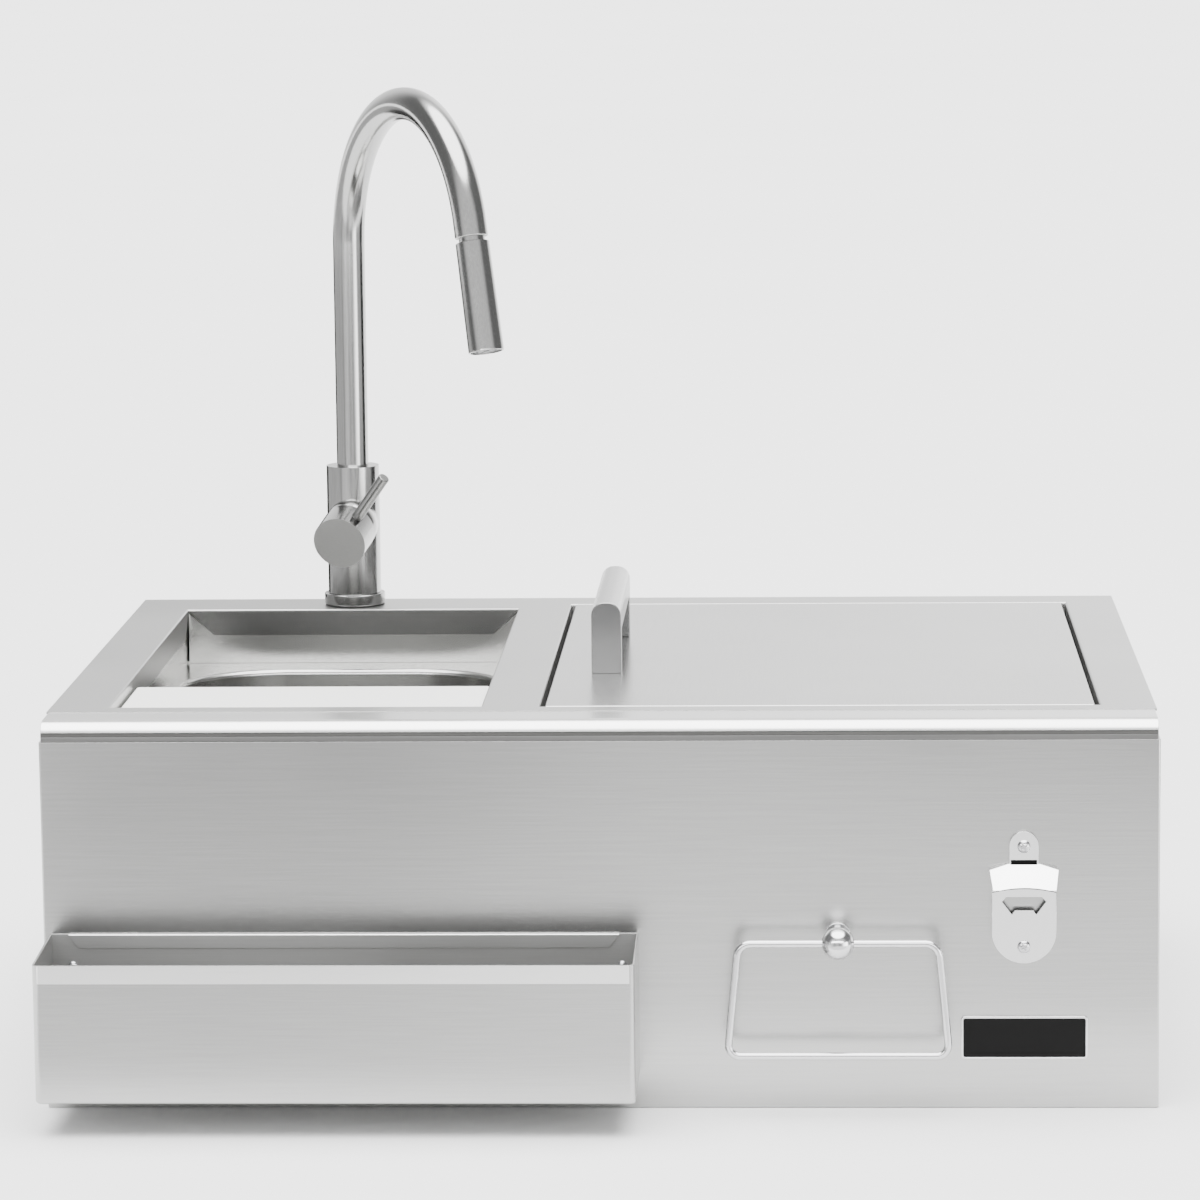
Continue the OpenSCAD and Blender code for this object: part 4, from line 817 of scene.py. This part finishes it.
# hoodEnd, slot and grooveAt are depths below the opener's top; shell is how far its face
# stands off the panel, and slotBack and grooveBack are where the painted shade ends
opener = {"edge": 0.8, "arc": 96, "hoodEnd": 37, "shell": 8, "slot": 20.2, "slotHeight": 3.2,
          "slotWide": 18.3, "slotBack": 2.9, "hoodDepth": -0.05, "groove": 1.3,
          "grooveAt": 38.6, "grooveDepth": 1.4, "grooveBack": 4}


def openerPiece():
    low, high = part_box("bottle_opener")
    middle, back = (low.x + high.x) / 2, high.y
    piece = softCopy("capOpener", "bottle_opener", mm(opener["edge"]), 3)
    # the hood's lower edge is an arc, with a groove under it
    arc, groove = mm(opener["arc"]), mm(opener["groove"])
    face = back - mm(opener["shell"])
    front = low.y - mm(10)
    forward = (math.radians(90), 0, 0)
    for top, inner, depth in ((opener["hoodEnd"], 0, opener["hoodDepth"]),
                              (opener["grooveAt"], arc - groove, opener["grooveDepth"])):
        span = face + mm(depth) - front
        centre = (middle, front + span / 2, high.z - mm(top) - arc)
        cutter = tubePiece("openerCutter", arc, span, centre, forward, 256)
        if inner:
            cutWith(cutter, tubePiece("openerHole", inner, span * 2, centre, forward, 256))
        cutWith(piece, cutter)
    smooth(piece, 30)
    dress(piece, "cabinet", "bright_steel", openerSteel, "bottle_opener")
    slotTop = high.z - mm(opener["slot"])
    slotLow = slotTop - mm(opener["slotHeight"])
    halfSlot = mm(opener["slotWide"]) / 2
    slack = mm(0.2)
    # painted shade in the slot under the tab
    paintFaces(piece, openerShadeBlack, lambda c, n: (
        slotLow - slack < c.z < slotTop + slack and abs(c.x - middle) < halfSlot + slack
        and back - mm(opener["slotBack"]) < c.y < back - slack / 2))
    ring, ringZ = arc - groove / 2, high.z - mm(opener["grooveAt"]) - arc
    # painted shade in the groove under the hood's lower edge
    paintFaces(piece, openerShadeBlack, lambda c, n: (
        near(math.hypot(c.x - middle, c.z - ringZ), ring, groove / 2 + slack / 4)
        and face + slack / 2 < c.y < back - mm(opener["grooveBack"])))


badgeParts = (
    ("openerScrews", "opener_screws", "cabinet", "bright_steel", screwSteel, 0.15, 2),
    ("badgeRim", "badge_rim", "cabinet", "bright_steel", brightSteel, 0.5, 3),
    ("badgePlate", "badge_plate", "cabinet", "black_plate", blackEnamel, 0.2, 2))

openerPiece()
copyParts(badgeParts)
print("opener and badge made")


# Tap

# foot and bendZ are heights above the deck, sweep is the bend's angle, turn is the way that
# the spout faces, and end is the straight piece after the bend
spout = {"tube": 12.7, "wall": 1, "edge": 0.3, "foot": 92.5, "bendZ": 292.8, "bendR": 115.9,
         "sweep": 164.7, "turn": -60.8, "end": 11.6}


# the way that the spout faces, and the middle of the tap at the deck
def tapAxes():
    turn = math.radians(spout["turn"])
    return Vector((math.cos(turn), math.sin(turn), 0)), mm(*deck["tap"], deck["height"])


# point and direction at the end of the spout's bend
def bendEnd():
    out, foot = tapAxes()
    sweep = math.radians(spout["sweep"])
    radius = mm(spout["bendR"])
    point = foot + out * (radius - radius * math.cos(sweep))
    point.z += mm(spout["bendZ"]) + radius * math.sin(sweep)
    return point, out * math.sin(sweep) + Vector((0, 0, math.cos(sweep)))


def spoutPiece():
    out, foot = tapAxes()
    piece = newPiece("spoutTube", bpy.ops.mesh.primitive_circle_add, vertices=64,
                     radius=mm(spout["tube"]), location=foot + mm(0, 0, spout["foot"]))
    startEdit(piece, "EDGE")
    bpy.ops.mesh.select_all(action="SELECT")
    bpy.ops.mesh.extrude_region_move(
        TRANSFORM_OT_translate={"value": (0, 0, mm(spout["bendZ"] - spout["foot"]))})
    bpy.ops.mesh.spin(steps=72, angle=math.radians(spout["sweep"]),
                      center=foot + out * mm(spout["bendR"]) + mm(0, 0, spout["bendZ"]),
                      axis=out.cross(Vector((0, 0, 1))))
    along = bendEnd()[1]
    bpy.ops.mesh.extrude_region_move(
        TRANSFORM_OT_translate={"value": along * mm(spout["end"])})
    endEdit()
    fixNormals(piece)
    applyModifier(piece, "SOLIDIFY", thickness=mm(spout["wall"]), offset=-1)
    bevelEdges(piece, mm(spout["edge"]), 2, 60)
    smooth(piece, 40)
    dress(piece, "spout", "steel", tubeSteel, "spout")


# distances from the spout's end with the radius there, from the neck to the rim and back
# up inside
sprayHead = {"profile": ((0.3, 10), (4, 10), (4, 12.3), (4.6, 12.9), (87.6, 13.6), (88.5, 13.5),
                         (88.8, 13.0), (88.8, 12.2), (80.8, 12.0))}


def headPiece():
    end, along = bendEnd()
    end = end + along * mm(spout["end"])
    turn = Vector((0, 0, 1)).rotation_difference(along).to_euler()
    profile = sprayHead["profile"]
    neckAt, neckR = profile[0]
    piece = newPiece("sprayHead", bpy.ops.mesh.primitive_circle_add, vertices=64,
                     radius=mm(neckR), location=end + along * mm(neckAt), rotation=turn)
    startEdit(piece, "EDGE")
    bpy.ops.mesh.select_all(action="SELECT")
    for (fromAt, fromR), (toAt, toR) in zip(profile, profile[1:]):
        bpy.ops.mesh.extrude_region_move(
            TRANSFORM_OT_translate={"value": along * mm(toAt - fromAt)})
        if fromR != toR:
            bpy.ops.transform.resize(value=(toR / fromR,) * 3,
                                     center_override=end + along * mm(toAt))
    endEdit()
    fixNormals(piece)
    smooth(piece, 40)
    dress(piece, "spray", "steel", tubeSteel, "spray_head")


tapParts = (("tapGasket", "tap_gasket", "cabinet", "rubber", darkRubber, 0.3, 2),
            ("baseRing", "base_ring", "cabinet", "steel", tubeSteel, 0.9, 3),
            ("tapBody", "tap_body", "cabinet", "steel", tubeSteel, 0.5, 2),
            ("tapShank", "tap_shank", "cabinet", "brass", brass, 0.3, 2),
            ("shankNut", "shank_nut", "cabinet", "brass", brass, 0.5, 2),
            ("shankWasher", "shank_washer", "cabinet", "steel", screwSteel, 0.2, 2),
            ("supplyTails", "supply_tails", "cabinet", "brass", brass, 0.2, 2),
            ("sprayCore", "spray_core", "spray", "nylon", greyNylon, 0.3, 2),
            ("sprayFace", "spray_face", "spray", "nylon", darkNylon, 0.2, 2),
            ("sprayDock", "spray_dock", "spout", "nylon", whiteNylon, 0.2, 2),
            ("leverStem", "lever_stem", "lever", "bright_steel", brightSteel, 0.1, 1),
            ("leverRotor", "lever_rotor", "lever_base", "nylon", greyNylon, 0.2, 2),
            ("cartridgeNut", "cartridge_nut", "cabinet", "brass", brass, 0.3, 2))

# rod is the rod's radius, which is more than its plain solid's, so it starts further out,
# clear of the boss, and the cap has a bore as much wider
lever = {"rod": 4.5, "round": 0.8, "start": 11, "play": 0.1, "bore": 30, "capEdge": 0.7}


def leverPieces():
    # the plain rod's flat ends give its axis
    solid = softCopy("rodSolid", "lever_rod", 0)
    ends = sorted((face.center.copy() for face in solid.data.polygons
                   if len(face.vertices) > 8), key=lambda centre: centre.z)
    root, tip = ends[0], ends[-1]
    bpy.data.objects.remove(solid)
    along = (tip - root).normalized()
    turn = along.to_track_quat("Z", "Y").to_euler()
    cap = softCopy("leverCap", "lever_cap", mm(lever["capEdge"]), 3)
    bore = tubePiece("rodBore", mm(lever["rod"] + lever["play"]), mm(lever["bore"]),
                     root + along * mm(lever["bore"]) / 2, turn)
    cutWith(cap, bore)
    smooth(cap)
    dress(cap, "lever", "steel", tubeSteel, "lever_cap")
    paintFaces(cap, capSteel, lambda c, n: n.y < -0.85)
    start = root + along * mm(lever["start"])
    rod = tubePiece("leverRod", mm(lever["rod"]), (tip - start).length, (start + tip) / 2, turn)
    bevelEdges(rod, mm(lever["round"]), 3, 60)
    smooth(rod)
    dress(rod, "lever", "steel", rodSteel, "lever_rod")


spoutPiece()
headPiece()
copyParts(tapParts)
leverPieces()
print("tap made")


# what is hidden inside keeps its plain solid, with its own material
insideMaterials = {"strainer_gasket": darkRubber, "bin_insulation": foam, "lid_core": foam,
                   "spout_bush": whiteNylon, "spray_hose": greyNylon, "cartridge": whiteNylon}
for node, material in insideMaterials.items():
    mesh = frame["nodes"][node].data
    mesh.materials.clear()
    mesh.materials.append(material)


# Studio

# sizes and places from here on are in metres
ground = {"size": 60, "below": 0.0005, "colour": "#f4f4f4"}


def studioFloor():
    piece = sheetPiece("studioFloor", ground["size"], ground["size"], (0, 0, -ground["below"]))
    material, tree, shader, place = newMaterial("paintedFloor")
    cloud = addNode(tree, "ShaderNodeTexNoise", {"Vector": place, "Scale": 0.7, "Detail": 1})
    base = linear(ground["colour"])
    tree.links.new(ramp(tree, cloud.outputs["Fac"],
                        [(0.3, tuple(c * 0.985 for c in base[:3]) + (1,)), (0.7, base)]),
                   shader.inputs["Base Color"])
    shader.inputs["Roughness"].default_value = 0.9
    piece.data.materials.append(material)


# a screen that only polished metal sees; glow runs from 0 to 1 and is scaled by power
def screen(piece, name, glow, power):
    for rays in ("camera", "diffuse", "shadow", "transmission"):
        setattr(piece, "visible_" + rays, False)
    material, tree, shader, place = newMaterial(name)
    weave = addNode(tree, "ShaderNodeTexNoise", {"Vector": place, "Scale": 300, "Detail": 1})
    level = addNode(tree, "ShaderNodeMath", {0: glow(tree, place), 1: power}, operation="MULTIPLY")
    tree.links.new(ramp(tree, weave.outputs["Fac"], [(0.3, (0.9,)), (0.7, (1,))]),
                   shader.inputs["Emission Color"])
    tree.links.new(level.outputs[0], shader.inputs["Emission Strength"])
    shader.inputs["Base Color"].default_value = (0, 0, 0, 1)
    shader.inputs["Roughness"].default_value = 1
    piece.data.materials.append(material)


# runs softly from one value to the other as the input goes from low to high
def blend(tree, value, low, high, fromValue=0, toValue=1):
    return addNode(tree, "ShaderNodeMapRange",
                   {"Value": value, "From Min": low, "From Max": high,
                    "To Min": fromValue, "To Max": toValue},
                   interpolation_type="SMOOTHSTEP").outputs[0]


# grey cloth round the stage, which polished metal mirrors; tones are degrees from the front,
# positive to the right, and the brightness there
curtain = {"radius": 1.62, "height": 0.5,
           "tones": ((-168, 0.0), (-135, 0.0), (-130, 1.0), (-68, 1.0), (-60, 0.5), (-52, 1.5),
                     (-30, 1.6), (-14, 0.75), (3, 1.2), (15, 0.55), (28, 1.3), (40, 6.0),
                     (58, 10.0), (66, 1.0), (98, 0.9), (105, 0.0), (132, 0.0))}


def studioWall():
    piece = newPiece("studioWall", bpy.ops.mesh.primitive_cylinder_add, vertices=120,
                     radius=curtain["radius"], depth=curtain["height"],
                     end_fill_type="NOTHING", location=(0, 0, curtain["height"] / 2))
    tones = curtain["tones"]
    first, last = tones[0][0], tones[-1][0]
    startEdit(piece)
    pickFaces(piece, lambda c, n: not first < math.degrees(math.atan2(c.x, -c.y)) < last)
    bpy.ops.mesh.delete(type="FACE")
    endEdit()
    brightest = max(tone for at, tone in tones)

    def glow(tree, place):
        parts = addNode(tree, "ShaderNodeSeparateXYZ", {"Vector": place}).outputs
        ahead = addNode(tree, "ShaderNodeMath", {0: parts["Y"], 1: -1}, operation="MULTIPLY")
        angle = addNode(tree, "ShaderNodeMath", {0: parts["X"], 1: ahead.outputs[0]},
                        operation="ARCTAN2")
        share = addNode(tree, "ShaderNodeMapRange",
                        {"Value": angle.outputs[0], "From Min": -math.pi, "From Max": math.pi})
        return ramp(tree, share.outputs["Result"],
                    [((at + 180) / 360, (tone / brightest,)) for at, tone in tones])

    screen(piece, "greyCloth", glow, brightest)


# cloth on the floor in front, out of the picture, that the front panel mirrors: dark on
# the left and light on the right
cloth = {"width": 1.44, "length": 1.66, "centre": (0.1, -1.35, 0.001), "power": 2.4,
         "far": 0.28, "close": 0.8, "farToClose": (-1.4, -0.9), "leftToRight": (-0.3, 0.05)}


def studioCloth():
    piece = sheetPiece("studioCloth", cloth["width"], cloth["length"], cloth["centre"])

    def glow(tree, place):
        parts = addNode(tree, "ShaderNodeSeparateXYZ", {"Vector": place}).outputs
        left = blend(tree, parts["Y"], *cloth["farToClose"], cloth["far"], cloth["close"])
        return blend(tree, parts["X"], *cloth["leftToRight"], left, 1)

    screen(piece, "greyFloorCloth", glow, cloth["power"])


# a wide low soft light in front, dimmer along its lower edge
softbox = {"width": 2.2, "height": 0.28, "centre": (0, -1.45, 0.66), "power": 12, "dim": 0.3,
           "dimToBright": (0.52, 0.58)}


def studioBox():
    piece = sheetPiece("studioBox", softbox["width"], softbox["height"], softbox["centre"],
                       (math.radians(90), 0, 0))

    def glow(tree, place):
        parts = addNode(tree, "ShaderNodeSeparateXYZ", {"Vector": place}).outputs
        return blend(tree, parts["Z"], *softbox["dimToBright"], softbox["dim"], 1)

    screen(piece, "softboxCloth", glow, softbox["power"])


# how bright the sky is: behind the object, from the left to the right of the middle, and
# in front, overhead and elsewhere; each rise is where a part of the sky begins and is full
sky = {"behind": (1.95, 3.125), "middle": (-0.12, 0.12), "ahead": 1.4, "top": 2.6, "sides": 0.3,
       "behindRise": (0.5, 0.85), "aheadRise": (0.3, 0.7), "topRise": (0.72, 0.86)}


def studioSky():
    world = bpy.data.worlds.new("studioSky")
    bpy.context.scene.world = world
    world.use_nodes = True
    tree = world.node_tree
    way = addNode(tree, "ShaderNodeTexCoord").outputs["Generated"]
    parts = addNode(tree, "ShaderNodeSeparateXYZ", {"Vector": way}).outputs

    def toward(level, share, aim):
        return addNode(tree, "ShaderNodeMix", {0: share, 2: level, 3: aim}).outputs[0]

    (left, right), (leftLevel, rightLevel) = sky["middle"], sky["behind"]
    behind = addNode(tree, "ShaderNodeMapRange",
                     {"Value": parts["X"], "From Min": left, "From Max": right,
                      "To Min": leftLevel, "To Max": rightLevel})
    ahead = addNode(tree, "ShaderNodeMath", {0: parts["Y"], 1: -1}, operation="MULTIPLY")
    level = toward(sky["sides"], blend(tree, parts["Y"], *sky["behindRise"]), behind.outputs[0])
    level = toward(level, blend(tree, ahead.outputs[0], *sky["aheadRise"]), sky["ahead"])
    level = toward(level, blend(tree, parts["Z"], *sky["topRise"]), sky["top"])
    backdrop = tree.nodes["Background"].inputs
    backdrop["Color"].default_value = (1, 1, 1, 1)
    tree.links.new(level, backdrop["Strength"])


# a broad soft light from above, tipped a little toward the back; spread is in radians
sun = {"power": 8, "spread": 1.2, "place": (0, 0, 3), "aim": (0, 0.3, 0)}


def studioLight():
    lamp = bpy.data.lights.new("overheadLight", "SUN")
    lamp.energy, lamp.angle = sun["power"], sun["spread"]
    holder = bpy.data.objects.new("overheadLight", lamp)
    bpy.context.scene.collection.objects.link(holder)
    way = Vector(sun["aim"]) - Vector(sun["place"])
    holder.location = sun["place"]
    holder.rotation_euler = way.to_track_quat("-Z", "Y").to_euler()


# fitted to the cabinet's straight edges in the photograph; angles in radians
view = {"lens": 148.63, "sensor": 36, "reach": 100, "place": (0.15041, -3.69933, 0.88005),
        "yaw": 0.0431, "pitch": -0.1502, "roll": -0.0107}


def photoCamera():
    lens = bpy.data.cameras.new("photoCamera")
    lens.lens, lens.sensor_width, lens.clip_end = view["lens"], view["sensor"], view["reach"]
    camera = bpy.data.objects.new("photoCamera", lens)
    bpy.context.scene.collection.objects.link(camera)
    camera.matrix_world = (Matrix.Translation(view["place"])
                           @ Matrix.Rotation(view["yaw"], 4, "Z")
                           @ Matrix.Rotation(view["pitch"] + math.pi / 2, 4, "X")
                           @ Matrix.Rotation(view["roll"], 4, "Z"))
    bpy.context.scene.camera = camera


studioFloor()
studioWall()
studioCloth()
studioBox()
studioSky()
studioLight()
photoCamera()
print("studio made")
